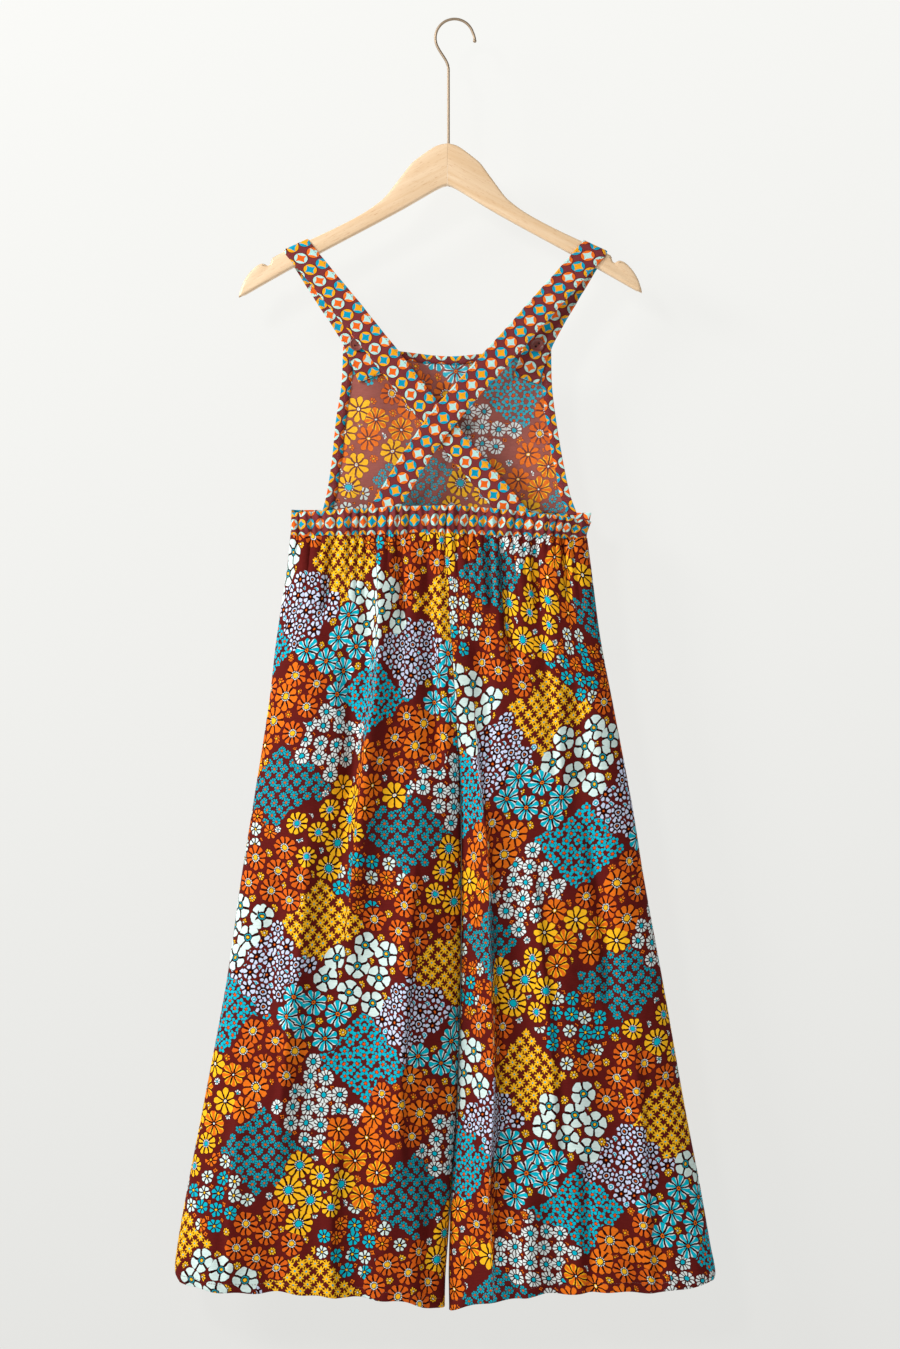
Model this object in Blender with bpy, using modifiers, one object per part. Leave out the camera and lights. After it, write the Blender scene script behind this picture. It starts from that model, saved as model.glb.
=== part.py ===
"""A bib jumpsuit with wide legs, hanging by its straps from a flat wooden hanger.

The frame is metres with +Z up. X runs across the garment, its back faces -Y and its bib faces +Y.
The origin is where a rail bears on the inside of the hanger's hook. Tables and helper functions
work in millimetres, and shaped_grid and the placing code turn them into metres.
"""

import math

import bmesh
import bpy
from mathutils import Vector

MM = 0.001

# Cloth and seams.
SEAM_GAP = 0.3
SEAM_STRIP = 2.0
CLOTH = 1.5
BINDING_CLOTH = 2.4
STRAP_CLOTH = 2.0
CASING_CLOTH = 3.0
SIDE_ROUND = 50.0

# Waistband: the casing behind is drawn in by elastic, the band in front is flat.
BAND_HEIGHT = 30.0
BAND_DEPTH = 13.0
RUFFLES = 27
RUFFLE_DEPTH = 3.0
RUFFLE_AT_EDGE = 0.6

# Bib and its bindings.
BINDING = 10.5
NECK_BINDING = 9.0
BIB_TOP_DEPTH = 10.0
BIB_BULGE = 5.0

# Straps and buttons.
STRAP_WIDTH = 29.0
FRONT_STATIONS = 7
BACK_STATIONS = 12
SQUARE_AFTER = 0.4
BUTTON_DIAMETER = 15.0
BUTTON_THICK = 3.0
BUTTON_RIM = 0.6
BUTTON_HOLE = 2.0
BUTTON_HOLE_GAP = 4.4
BUTTON_TURN = 63.0

# Hanger.
ARM_THICK = 12.0
ARM_ROUND = 3.0
ARM_SEAM_X = -1.3
RIGHT_ARM_REACH = 0.933
RIGHT_ARM_LIFT = 0.042
WIRE = 3.0
HOOK_RADIUS = 21.0
HOOK_CENTRE_X = 6.6
STEM_TOP = -53.0
STEM_FOOT = -158.0
STEM_BORE_DEPTH = 40.0
BEAD = 1.35
TIP_ANGLE, INNER_ANGLE, ANGLE_STEP = -8, 216, 14
TIP_FLARE = 0.07

# The legs' outline from the waist seam down. Columns: height, left side, right side,
# line between the two legs, half depth of the back, half depth of the front.
HEIGHT, LEFT_SIDE, RIGHT_SIDE, CENTRE, BACK_DEPTH, FRONT_DEPTH = range(6)
LEG_OUTLINE = (
    (-564.0, -173.0, 151.5, -4.5, 13.0, 13.0),
    (-605.0, -177.5, 157.0, -3.0, 17.0, 15.0),
    (-678.0, -188.5, 166.5, 3.0, 21.0, 18.0),
    (-754.0, -197.5, 181.0, 8.0, 24.0, 20.0),
    (-865.0, -215.0, 202.0, 13.5, 26.0, 22.0),
    (-943.0, -227.5, 214.5, 14.0, 27.0, 23.0),
    (-1055.0, -243.5, 235.0, 13.5, 28.0, 24.0),
    (-1197.0, -270.0, 260.0, 9.0, 30.0, 26.0),
    (-1277.0, -285.5, 275.5, 3.5, 31.0, 28.0),
    (-1345.0, -297.5, 287.5, 0.0, 32.0, 29.0),
    (-1376.0, -300.0, 293.0, -1.5, 32.0, 29.0),
    (-1390.0, -293.0, 289.0, -1.7, 32.0, 29.0),
    (-1420.0, -288.0, 284.0, -1.7, 32.0, 29.0),
)
CROTCH_START = -745.0
CROTCH = -872.0
LEG_GAP_START = -1150.0
LEG_GAP_OPENS_OVER = 250.0
LEG_GAP_AT_HEM = 5.0
FOLDS_CLEAR_SEAM = 25.0
LEG_COLUMNS = 15
LEG_ROWS = 14

# The seam under the waistband and the casing's upper edge. Columns: across, height.
WAIST_SEAM = ((-175.0, -567.0), (-60.0, -565.5), (-5.0, -564.5), (75.0, -567.0), (158.0, -570.5))
CASING_TOP = (
    (-173.0, -542.0),
    (-120.0, -538.5),
    (-30.0, -534.0),
    (25.0, -535.0),
    (90.0, -541.5),
    (159.0, -550.5),
)
CASING_SIDES = ((-571.0, -173.0, 151.5), (-565.0, -173.0, 151.5), (-541.0, -172.5, 157.0))

# The hem. Columns: share of the way from the side to the inseam, left leg, right leg.
HEM = (
    (0.0, -1384.0, -1381.0),
    (0.15, -1390.5, -1389.5),
    (0.4, -1391.5, -1390.5),
    (0.65, -1397.0, -1394.0),
    (0.85, -1401.0, -1401.0),
    (0.94, -1410.0, -1410.0),
    (1.0, -1413.0, -1415.0),
)

# The largest folds in the legs. Columns: side, face, share across at the top and at the foot,
# top and foot heights, half width, depth outwards.
LEG_FOLDS = (
    (-1, -1, 0.59, 0.50, -566.0, -1110.0, 16.0, 7.0),
    (-1, -1, 0.22, 0.30, -640.0, -1395.0, 24.0, 8.0),
    (-1, -1, 0.78, 0.74, -820.0, -1425.0, 22.0, 9.0),
    (1, -1, 0.38, 0.30, -590.0, -980.0, 18.0, -7.0),
    (1, -1, 0.84, 0.85, -700.0, -1330.0, 16.0, 8.0),
    (1, -1, 0.55, 0.45, -860.0, -1430.0, 26.0, 9.0),
    (-1, 1, 0.45, 0.40, -620.0, -1430.0, 26.0, 9.0),
    (-1, 1, 0.80, 0.76, -760.0, -1330.0, 20.0, -7.0),
    (1, 1, 0.35, 0.42, -600.0, -1280.0, 22.0, 8.0),
    (1, 1, 0.72, 0.70, -880.0, -1430.0, 26.0, 9.0),
)

# The bib. Columns: height, left side, right side; then across, height of the neckline.
BIB_SIDES = (
    (-357.0, -116.0, 113.0),
    (-399.0, -118.0, 114.0),
    (-436.0, -124.0, 118.5),
    (-484.0, -129.0, 126.5),
    (-520.0, -134.5, 134.0),
    (-540.0, -139.5, 141.0),
)
NECKLINE = ((-116.0, -357.0), (-59.0, -361.5), (-2.0, -367.5), (40.0, -364.5), (113.0, -359.0))

# Where the straps fold over the hanger's arms, and their runs below. Columns: across, height, depth.
STRAP_FOLD = {"left": -166.9, "right": 160.6}
FRONT_RUN = {
    "left": ((-135.0, -297.5, 7.35), (-103.8, -347.2, 7.35), (-85.3, -391.2, 8.2)),
    "right": ((126.0, -306.0, 7.35), (100.8, -352.3, 7.35), (85.3, -393.4, 8.2)),
}
BACK_RUN = {
    "left": ((-90.0, -342.5, -7.6), (-10.5, -443.0, -8.0), (62.2, -530.0, -10.0), (79.0, -551.0, -10.2)),
    "right": ((76.0, -345.5, -9.6), (-9.9, -443.0, -11.6), (-67.7, -532.0, -10.4), (-79.5, -551.0, -10.2)),
}
BUTTON_AT = {"left": (-101.2, -354.3), "right": (97.9, -355.4)}

# One arm's outline from the seam, as reach and height in millimetres from the apex of the underside.
ARM_APEX = -180.7
ARM_CROWN = ((0.0, 46.0), (16.0, 41.1), (29.0, 32.2), (39.0, 24.2), (48.0, 12.9), (58.0, 0.0))
ARM_TOP = ((67.5, -12.0), (75.8, -19.4), (93.5, -31.5), (125.8, -48.4), (178.9, -73.0), (192.6, -80.5))
ARM_NOTCH = ((193.5, -85.5), (197.0, -88.5), (200.8, -86.5))
ARM_TIP = ((209.5, -88.7), (217.8, -96.8), (224.3, -107.3), (227.8, -117.0), (228.8, -121.1))


def smooth(t):
    t = min(max(t, 0.0), 1.0)
    return t * t * (3.0 - 2.0 * t)


def read(table, key, column=1):
    """Reads a column on a smooth curve through the table's rows, whose first column is the key."""
    rows = sorted(table)
    if key <= rows[0][0]:
        return rows[0][column]
    if key >= rows[-1][0]:
        return rows[-1][column]
    i = next(n for n in range(len(rows) - 1) if rows[n][0] <= key <= rows[n + 1][0])

    def slope(n):
        a, b = rows[max(n - 1, 0)], rows[min(n + 1, len(rows) - 1)]
        return (b[column] - a[column]) / (b[0] - a[0])

    step = rows[i + 1][0] - rows[i][0]
    t = (key - rows[i][0]) / step
    ends = (2 * t**3 - 3 * t**2 + 1) * rows[i][column] + (3 * t**2 - 2 * t**3) * rows[i + 1][column]
    turns = (t**3 - 2 * t**2 + t) * slope(i) + (t**3 - t**2) * slope(i + 1)
    return ends + turns * step


def side_curve(distance):
    """How far a side has rounded out to full depth, at a distance in from its edge."""
    t = min(max(distance / SIDE_ROUND, 0.0), 1.0)
    return math.sqrt(1.0 - (1.0 - t) ** 2)


def spaced(count):
    """Shares from 0 to 1, closer together at both ends."""
    return [0.5 - 0.5 * math.cos(math.pi * n / count) for n in range(count + 1)]


def evenly(count):
    return [n / count for n in range(count + 1)]


def finish(name, colour, roughness, metallic=0.0):
    material = bpy.data.materials.new(name)
    material.use_nodes = True
    shader = material.node_tree.nodes["Principled BSDF"]
    shader.inputs["Base Color"].default_value = (*colour, 1.0)
    shader.inputs["Roughness"].default_value = roughness
    shader.inputs["Metallic"].default_value = metallic
    material.diffuse_color = (*colour, 1.0)
    return material


def add_object(name, data, material, parent):
    made = bpy.data.objects.new(name, data)
    parts.objects.link(made)
    data.materials.append(material)
    made.parent = parent
    return made


def shaped_grid(name, columns, rows, place, thickness, material):
    """A cloth wall: a flat grid whose points go where place(column, row) says, and which is then thickened."""
    mesh = bpy.data.meshes.new(name)
    grid = bmesh.new()
    bmesh.ops.create_grid(grid, x_segments=len(columns) - 1, y_segments=len(rows) - 1, size=1.0)
    for vert in grid.verts:
        column = columns[round((vert.co.x + 1.0) / 2.0 * (len(columns) - 1))]
        row = rows[round((vert.co.y + 1.0) / 2.0 * (len(rows) - 1))]
        vert.co = place(column, row) * MM
    grid.to_mesh(mesh)
    grid.free()
    mesh.shade_smooth()
    wall = add_object(name, mesh, material, seat)
    solidify = wall.modifiers.new("wall", "SOLIDIFY")
    solidify.thickness = thickness * MM
    solidify.offset = 0.0
    return wall


# Legs ---------------------------------------------------------------------------------------------

OUTER_SEAM, INNER_SEAM = -1.0, 2.0


def leg_folds(side, face, share, height, width):
    total = 0.0
    for fold_side, fold_face, top_share, foot_share, top, foot, half_width, depth in LEG_FOLDS:
        down = (top - height) / (top - foot)
        if fold_side == side and fold_face == face and 0.0 < down < 1.0:
            off = (share - top_share - (foot_share - top_share) * down) * width
            total += depth * math.sin(math.pi * down) * math.exp(-((off / half_width) ** 2))
    return total


def leg_point(side, face, column, down):
    """A point of a leg panel. side is -1 or 1 for left and right, face -1 or 1 for back and front."""
    share = min(max(column, 0.0), 1.0)
    depth_column = BACK_DEPTH if face < 0 else FRONT_DEPTH
    side_column = LEFT_SIDE if side < 0 else RIGHT_SIDE
    waist_x = LEG_OUTLINE[0][side_column] * (1.0 - share) + LEG_OUTLINE[0][CENTRE] * share
    top = read(WAIST_SEAM, waist_x) - SEAM_GAP / 2
    height = top + (read(HEM, share, 1 if side < 0 else 2) - top) * down
    closing = smooth((CROTCH_START - height) / (CROTCH_START - CROTCH))
    parting = smooth((LEG_GAP_START - height) / LEG_GAP_OPENS_OVER)
    leg_gap = SEAM_GAP * (1.0 + closing) + LEG_GAP_AT_HEM * parting
    outer = read(LEG_OUTLINE, height, side_column)
    inner = read(LEG_OUTLINE, height, CENTRE) + side * (leg_gap + CLOTH * math.sqrt(closing)) / 2
    shallow = SEAM_GAP / 2 + SEAM_STRIP
    full = read(LEG_OUTLINE, height, depth_column)
    if column == OUTER_SEAM:
        return Vector((outer, face * SEAM_GAP / 2, height))
    if column == INNER_SEAM:
        depth = shallow + (full - shallow) * (1.0 - closing) - SEAM_STRIP * closing
        return Vector((inner, face * depth, height))
    strip_start = inner + side * SEAM_STRIP * (1.0 - closing)
    width = abs(strip_start - outer)
    shape = side_curve(share * width) * (1.0 - closing * (1.0 - side_curve((1.0 - share) * width)))
    clear_of_seams = smooth(share * width / FOLDS_CLEAR_SEAM)
    clear_of_seams *= smooth((1.0 - share) * width / FOLDS_CLEAR_SEAM)
    folds = leg_folds(side, face, share, height, width) * clear_of_seams
    depth = shallow + (full - shallow) * shape + folds
    return Vector((outer + (strip_start - outer) * share, face * depth, height))


def make_legs(material):
    columns = [OUTER_SEAM, *spaced(LEG_COLUMNS), INNER_SEAM]
    rows = evenly(LEG_ROWS)
    for side, side_name in ((-1, "left"), (1, "right")):
        for face, face_name in ((-1, "back"), (1, "front")):
            shaped_grid(
                f"leg_{face_name}_{side_name}",
                columns,
                rows,
                lambda column, row, s=side, f=face: leg_point(s, f, column, row),
                CLOTH,
                material,
            )


# Waistband ----------------------------------------------------------------------------------------


def band_depth(x):
    """Half depth of the waist at x, rounding to the side seams."""
    left, right = CASING_SIDES[0][1:]
    shallow = SEAM_GAP / 2 + SEAM_STRIP
    return shallow + (BAND_DEPTH - shallow) * side_curve(min(x - left, right - x))


def band_point(face, column, up):
    share = min(max(column, 0.0), 1.0)
    left, right = (read(CASING_SIDES, WAIST_SEAM[-1][1] + BAND_HEIGHT * up, n) for n in (1, 2))
    x = left + (right - left) * share
    foot = read(WAIST_SEAM, x) + SEAM_GAP / 2
    head = read(CASING_TOP, x) if face < 0 else foot + BAND_HEIGHT
    height = foot + (head - foot) * up
    if column in (OUTER_SEAM, INNER_SEAM):
        return Vector((x, face * SEAM_GAP / 2, height))
    depth = band_depth(min(max(x, CASING_SIDES[0][1]), CASING_SIDES[0][2]))
    if face < 0:
        swell = RUFFLE_AT_EDGE + (1.0 - RUFFLE_AT_EDGE) * math.sin(math.pi * up)
        wave = 0.5 - 0.5 * math.cos(2.0 * math.pi * RUFFLES * share)
        depth += RUFFLE_DEPTH * swell * wave
    return Vector((x, face * depth, height))


def make_waistbands(casing, band):
    casing_columns = [OUTER_SEAM, *evenly(2 * RUFFLES), INNER_SEAM]
    band_columns = [OUTER_SEAM, *spaced(16), INNER_SEAM]
    shaped_grid("waistband_back", casing_columns, [0.0, 0.15, 0.55, 1.0],
                lambda column, row: band_point(-1, column, row), CASING_CLOTH, casing)
    shaped_grid("waistband_front", band_columns, [0.0, 1.0],
                lambda column, row: band_point(1, column, row), CLOTH, band)


# Bib ----------------------------------------------------------------------------------------------


def bib_foot(x):
    return read(WAIST_SEAM, x) + SEAM_GAP / 2 + BAND_HEIGHT + SEAM_GAP


def bib_depth(x, height):
    """How far the bib stands off the middle plane, from the waistband's line to its upper edge."""
    foot = bib_foot(x)
    up = (height - foot) / (NECKLINE[0][1] - foot)
    hang = band_depth(x) + (BIB_TOP_DEPTH - band_depth(x)) * smooth(up)
    return hang + BIB_BULGE * math.sin(math.pi * min(max(up, 0.0), 1.0)) ** 2


def bib_point(column, up):
    left, right = BIB_SIDES[0][1] + BINDING + SEAM_GAP, BIB_SIDES[0][2] - BINDING - SEAM_GAP
    x = left + (right - left) * column
    head = read(NECKLINE, x) - NECK_BINDING - SEAM_GAP
    foot = bib_foot(x)
    height = foot + (head - foot) * up
    left = read(BIB_SIDES, height, 1) + BINDING + SEAM_GAP
    right = read(BIB_SIDES, height, 2) - BINDING - SEAM_GAP
    x = left + (right - left) * column
    return Vector((x, bib_depth(x, height), height))


def neck_binding_point(column, up):
    left = NECKLINE[0][0] + BINDING + SEAM_GAP
    right = NECKLINE[-1][0] - BINDING - SEAM_GAP
    x = left + (right - left) * column
    height = read(NECKLINE, x) - NECK_BINDING * (1.0 - up)
    return Vector((x, bib_depth(x, height), height))


def side_binding_point(side, column, up):
    edge = 1 if side < 0 else 2
    head = NECKLINE[0][1] if side < 0 else NECKLINE[-1][1]
    foot = bib_foot(BIB_SIDES[-1][edge] - side * BINDING * column)
    height = foot + (head - foot) * up
    x = read(BIB_SIDES, height, edge) - side * BINDING * column
    return Vector((x, bib_depth(x, height), height))


def make_bib(panel, binding):
    shaped_grid("bib_front", evenly(12), evenly(12), bib_point, CLOTH, panel)
    shaped_grid("neck_binding", evenly(12), [0.0, 1.0], neck_binding_point, BINDING_CLOTH, binding)
    for side, side_name in ((-1, "left"), (1, "right")):
        shaped_grid(f"armhole_binding_{side_name}", [0.0, 1.0], evenly(16),
                    lambda column, row, s=side: side_binding_point(s, column, row),
                    BINDING_CLOTH, binding)


# Straps -------------------------------------------------------------------------------------------


def run_through(points, count):
    """Evenly shared places on a smooth curve through the points."""
    places = []
    for n in range(count + 1):
        at = n / count * (len(points) - 1)
        i = min(int(at), len(points) - 2)
        t = at - i
        a, b = points[i], points[i + 1]
        before, after = points[max(i - 1, 0)], points[min(i + 2, len(points) - 1)]
        turn_a, turn_b = (b - before) / 2, (after - a) / 2
        places.append(
            a * (2 * t**3 - 3 * t**2 + 1)
            + b * (3 * t**2 - 2 * t**3)
            + turn_a * (t**3 - 2 * t**2 + t)
            + turn_b * (t**3 - t**2)
        )
    return places


def run_stations(start, table, along_edge, count):
    """(middle, half of the cross line) down one run, turning from the fold's line to square across."""
    middles = run_through([start, *(Vector((x, y, z)) for x, z, y in table)], count)
    stations = []
    for n in range(1, len(middles)):
        heading = middles[min(n + 1, count)] - middles[n - 1]
        heading = Vector((heading.x, 0.0, heading.z)).normalized()
        square = Vector((-heading.z, 0.0, heading.x))
        square *= math.copysign(1.0, square.dot(along_edge))
        cross = along_edge.lerp(square, smooth(n / count / SQUARE_AFTER)).normalized()
        stations.append((middles[n], cross * (STRAP_WIDTH / 2 / cross.dot(square))))
    return stations


def arm_edge(side, x):
    """The place on an arm's upper edge at x, and the edge's direction to the right."""
    outline = arm_outline(side)
    for a, b in zip(outline, outline[1:]):
        if min(a.x, b.x) <= x <= max(a.x, b.x):
            return a.lerp(b, (x - a.x) / (b.x - a.x)), (b - a).normalized() * math.copysign(1.0, b.x - a.x)
    raise ValueError("the arm doesn't reach that far")


def strap_stations(name):
    edge, along_edge = arm_edge(-1 if name == "left" else 1, STRAP_FOLD[name])
    up = Vector((-along_edge.z, 0.0, along_edge.x))
    flat = ARM_THICK / 2 - ARM_ROUND
    turn = ARM_ROUND + SEAM_GAP + STRAP_CLOTH / 2
    over = []
    for middle, angles in ((flat, (0, 30, 60, 90)), (-flat, (90, 120, 150, 180))):
        for angle in angles:
            y = middle + turn * math.cos(math.radians(angle))
            lift = turn * math.sin(math.radians(angle)) - ARM_ROUND
            over.append(edge + up * lift + Vector((0.0, y, 0.0)))
    half = along_edge * (STRAP_WIDTH / 2)
    front = run_stations(over[0], FRONT_RUN[name], along_edge, FRONT_STATIONS)
    back = run_stations(over[-1], BACK_RUN[name], along_edge, BACK_STATIONS)
    return [*reversed(front), *((place, half) for place in over), *back]


def make_straps(material):
    for name in ("left", "right"):
        stations = strap_stations(name)
        shaped_grid(f"strap_{name}", [-1.0, 1.0], list(range(len(stations))),
                    lambda column, row, s=stations: s[row][0] + s[row][1] * column,
                    STRAP_CLOTH, material)


# Buttons ------------------------------------------------------------------------------------------


def cylinder(name, radius, depth, place, collection, vertices):
    """A cylinder whose axis runs front to back."""
    mesh = bpy.data.meshes.new(name)
    body = bmesh.new()
    bmesh.ops.create_cone(body, cap_ends=True, segments=vertices, radius1=radius, radius2=radius, depth=depth)
    body.to_mesh(mesh)
    body.free()
    made = bpy.data.objects.new(name, mesh)
    collection.objects.link(made)
    made.location = place
    made.rotation_euler = (math.pi / 2, 0.0, 0.0)
    return made


def make_buttons(material):
    for name, (x, z) in BUTTON_AT.items():
        strap_face = FRONT_RUN[name][1][2] - STRAP_CLOTH / 2
        place = Vector((x, strap_face - 2 * SEAM_GAP - BUTTON_THICK / 2, z)) * MM
        button = cylinder(f"button_{name}", BUTTON_DIAMETER / 2 * MM, BUTTON_THICK * MM, place, parts, 24)
        button.data.materials.append(material)
        button.parent = seat
        bevel = button.modifiers.new("rim", "BEVEL")
        bevel.width = BUTTON_RIM * MM
        bevel.segments = 2
        for hole in (-1, 1):
            turn = math.radians(BUTTON_TURN)
            offset = Vector((math.cos(turn), 0.0, -math.sin(turn))) * (hole * BUTTON_HOLE_GAP / 2 * MM)
            cutter = cylinder(f"button_{name}_hole_{hole}", BUTTON_HOLE / 2 * MM,
                              3 * BUTTON_THICK * MM, place + offset, cutters, 10)
            cutter.display_type = "WIRE"
            cutter.hide_render = True
            cut = button.modifiers.new(f"hole {hole}", "BOOLEAN")
            cut.operation = "DIFFERENCE"
            cut.object = cutter


# Hanger -------------------------------------------------------------------------------------------


def arm_outline(side):
    """The arm's outline from the seam's top, round the tip and back along the underside."""
    outline = []
    for reach, rise in (*ARM_CROWN, *ARM_TOP, *ARM_NOTCH, *ARM_TIP, (0.0, 0.0)):
        if side > 0:
            share = reach / ARM_TIP[-1][0]
            reach *= RIGHT_ARM_REACH
            rise *= 1.0 - RIGHT_ARM_LIFT * share
        outline.append(Vector((ARM_SEAM_X + side * (reach + SEAM_GAP / 2), 0.0, ARM_APEX + rise)))
    return outline


def make_arm(side, name, material):
    mesh = bpy.data.meshes.new(name)
    arm = bmesh.new()
    back_face = Vector((0.0, -ARM_THICK / 2, 0.0))
    face = arm.faces.new([arm.verts.new((point + back_face) * MM) for point in arm_outline(side)])
    swept = bmesh.ops.extrude_face_region(arm, geom=[face])
    moved = [item for item in swept["geom"] if isinstance(item, bmesh.types.BMVert)]
    bmesh.ops.translate(arm, vec=(0.0, ARM_THICK * MM, 0.0), verts=moved)
    bmesh.ops.recalc_face_normals(arm, faces=arm.faces)
    seam = (ARM_SEAM_X + side * SEAM_GAP / 2) * MM
    rims = []
    for edge in arm.edges:
        along = abs(edge.verts[0].co.y - edge.verts[1].co.y) < 1e-6
        on_seam = all(abs(vert.co.x - seam) < 1e-6 for vert in edge.verts)
        if along and not on_seam:
            rims.append(edge)
    bmesh.ops.bevel(arm, geom=rims, offset=ARM_ROUND * MM, offset_type="OFFSET", segments=3,
                    profile=0.5, affect="EDGES", clamp_overlap=False)
    arm.to_mesh(mesh)
    arm.free()
    made = add_object(name, mesh, material, seat)
    cut = made.modifiers.new("stem bore", "BOOLEAN")
    cut.operation = "DIFFERENCE"
    cut.object = bpy.data.objects["stem_bore"]


def make_stem_bore():
    mesh = bpy.data.meshes.new("stem_bore")
    bore = bmesh.new()
    bmesh.ops.create_cone(bore, cap_ends=True, segments=16, radius1=(WIRE / 2 + SEAM_GAP) * MM,
                          radius2=(WIRE / 2 + SEAM_GAP) * MM, depth=STEM_BORE_DEPTH * MM)
    bore.to_mesh(mesh)
    bore.free()
    cutter = bpy.data.objects.new("stem_bore", mesh)
    cutters.objects.link(cutter)
    cutter.location = Vector((0.0, 0.0, STEM_FOOT - SEAM_GAP + STEM_BORE_DEPTH / 2)) * MM
    cutter.display_type = "WIRE"
    cutter.hide_render = True


def hook_route():
    """Middle of the wire from the open end, over the crown, back in to the stem and down it."""
    centre = Vector((HOOK_CENTRE_X, 0.0, -math.sqrt((HOOK_RADIUS - WIRE / 2) ** 2 - HOOK_CENTRE_X**2)))
    route = []
    for angle in range(TIP_ANGLE, INNER_ANGLE, ANGLE_STEP):
        turn = math.radians(angle)
        spread = HOOK_RADIUS * (1.0 + TIP_FLARE * smooth(1.0 - (angle - TIP_ANGLE) / (2 * ANGLE_STEP)))
        route.append(centre + Vector((math.cos(turn), 0.0, math.sin(turn))) * spread)
    leaving = route[-1] - route[-2]
    foot = Vector((0.0, 0.0, STEM_TOP))
    reach = (foot - route[-1]).length
    bend = [leaving.normalized() * reach, Vector((0.0, 0.0, -1.0)) * reach]
    start = route[-1]
    for n in range(1, 8):
        t = n / 7
        route.append(
            start * (2 * t**3 - 3 * t**2 + 1)
            + foot * (3 * t**2 - 2 * t**3)
            + bend[0] * (t**3 - 2 * t**2 + t)
            + bend[1] * (t**3 - t**2)
        )
    route.append(Vector((0.0, 0.0, (STEM_TOP + STEM_FOOT) / 2)))
    route.append(Vector((0.0, 0.0, STEM_FOOT)))
    return route


def make_hook(material):
    wire = bpy.data.curves.new("hanger_hook", "CURVE")
    wire.dimensions = "3D"
    wire.bevel_depth = WIRE / 2 * MM
    wire.bevel_resolution = 2
    wire.use_fill_caps = True
    route = hook_route()
    spline = wire.splines.new("POLY")
    spline.points.add(len(route) - 1)
    for point, place in zip(spline.points, route):
        point.co = (*(place * MM), 1.0)
    spline.points[0].radius = BEAD
    add_object("hanger_hook", wire, material, seat)


# The whole part -----------------------------------------------------------------------------------

for old in list(bpy.data.objects):
    bpy.data.objects.remove(old, do_unlink=True)

parts = bpy.data.collections.new("jumpsuit_on_hanger")
cutters = bpy.data.collections.new("cutters")
for group in (parts, cutters):
    bpy.context.scene.collection.children.link(group)
seat = bpy.data.objects.new("hook_seat", None)
parts.objects.link(seat)

print_cloth = finish("floral_print_cloth", (0.42, 0.16, 0.06), 0.75)
bib_cloth = finish("floral_print_wrong_side", (0.45, 0.2, 0.12), 0.85)
circle_cloth = finish("circle_print_cloth", (0.3, 0.12, 0.08), 0.75)
casing_cloth = finish("circle_print_elastic_casing", (0.3, 0.14, 0.1), 0.8)
brown_plastic = finish("brown_button_plastic", (0.1, 0.028, 0.024), 0.35)
beech = finish("lacquered_beech", (0.78, 0.52, 0.3), 0.45)
nickel = finish("satin_nickel_wire", (0.55, 0.5, 0.45), 0.3, 1.0)

make_legs(print_cloth)
make_waistbands(casing_cloth, circle_cloth)
make_bib(bib_cloth, circle_cloth)
make_straps(circle_cloth)
make_buttons(brown_plastic)
make_stem_bore()
make_arm(-1, "hanger_arm_left", beech)
make_arm(1, "hanger_arm_right", beech)
make_hook(nickel)
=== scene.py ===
"""A bib jumpsuit with wide legs, hung by its straps from a flat wooden hanger.

Metres, +Z up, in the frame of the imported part: the open back faces -Y, the bib faces +Y, and the
origin is where a rail bears inside the hook. Sizes and tables are in millimetres, and the helpers
that make a mesh turn them into metres.
"""

import math

import bpy
import numpy as np
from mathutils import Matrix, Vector


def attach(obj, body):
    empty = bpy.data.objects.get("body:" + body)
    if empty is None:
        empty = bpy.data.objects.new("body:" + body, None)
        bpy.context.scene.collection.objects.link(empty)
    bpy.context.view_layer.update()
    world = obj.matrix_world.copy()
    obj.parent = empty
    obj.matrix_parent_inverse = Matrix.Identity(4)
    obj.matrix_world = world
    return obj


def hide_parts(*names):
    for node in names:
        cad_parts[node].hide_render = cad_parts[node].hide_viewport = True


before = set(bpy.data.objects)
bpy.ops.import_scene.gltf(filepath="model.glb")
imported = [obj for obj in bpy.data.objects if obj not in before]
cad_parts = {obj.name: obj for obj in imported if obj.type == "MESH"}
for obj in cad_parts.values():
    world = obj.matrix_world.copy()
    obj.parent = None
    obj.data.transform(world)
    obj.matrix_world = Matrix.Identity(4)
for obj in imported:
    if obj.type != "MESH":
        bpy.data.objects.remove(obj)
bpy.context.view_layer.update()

MM = 0.001

# Hanger arms --------------------------------------------------------------------------------------
# Two flat beech arms, sawn to shape, rounded over at the rims, glued on a mitre under the hook and
# clear lacquered. The grain runs along each arm.

ARM_THICK = 12.0
ARM_ROUND = 2.6
ARM_SEAM_X = -1.3
ARM_SEAM_GAP = 0.16
RIGHT_ARM_REACH = 0.933
RIGHT_ARM_LIFT = 0.042
ARM_APEX = -180.7
ARM_CROWN = ((0.0, 46.0), (8.0, 44.6), (16.0, 41.1), (29.0, 32.2), (39.0, 24.2), (48.0, 12.9), (58.0, 0.0))
ARM_TOP = ((67.5, -12.0), (75.8, -19.4), (93.5, -31.5), (125.8, -48.4), (178.9, -73.0), (190.6, -79.3))
ARM_NOTCH = ((193.2, -82.6), (194.5, -87.0), (197.6, -88.6), (200.8, -86.9), (204.5, -86.6))
ARM_TIP = ((209.8, -89.0), (217.8, -96.8), (224.3, -107.3), (227.8, -117.0), (228.8, -121.1))
ARM_UNDERSIDE = ((224.0, -121.2), (160.0, -85.0), (60.0, -32.0), (12.0, -4.6), (0.0, 0.0))
ARM_SLOPE = 27.5
SAWN_OVER = 8.0  # each arm is first made this much past the mitre, then cut flush


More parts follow.
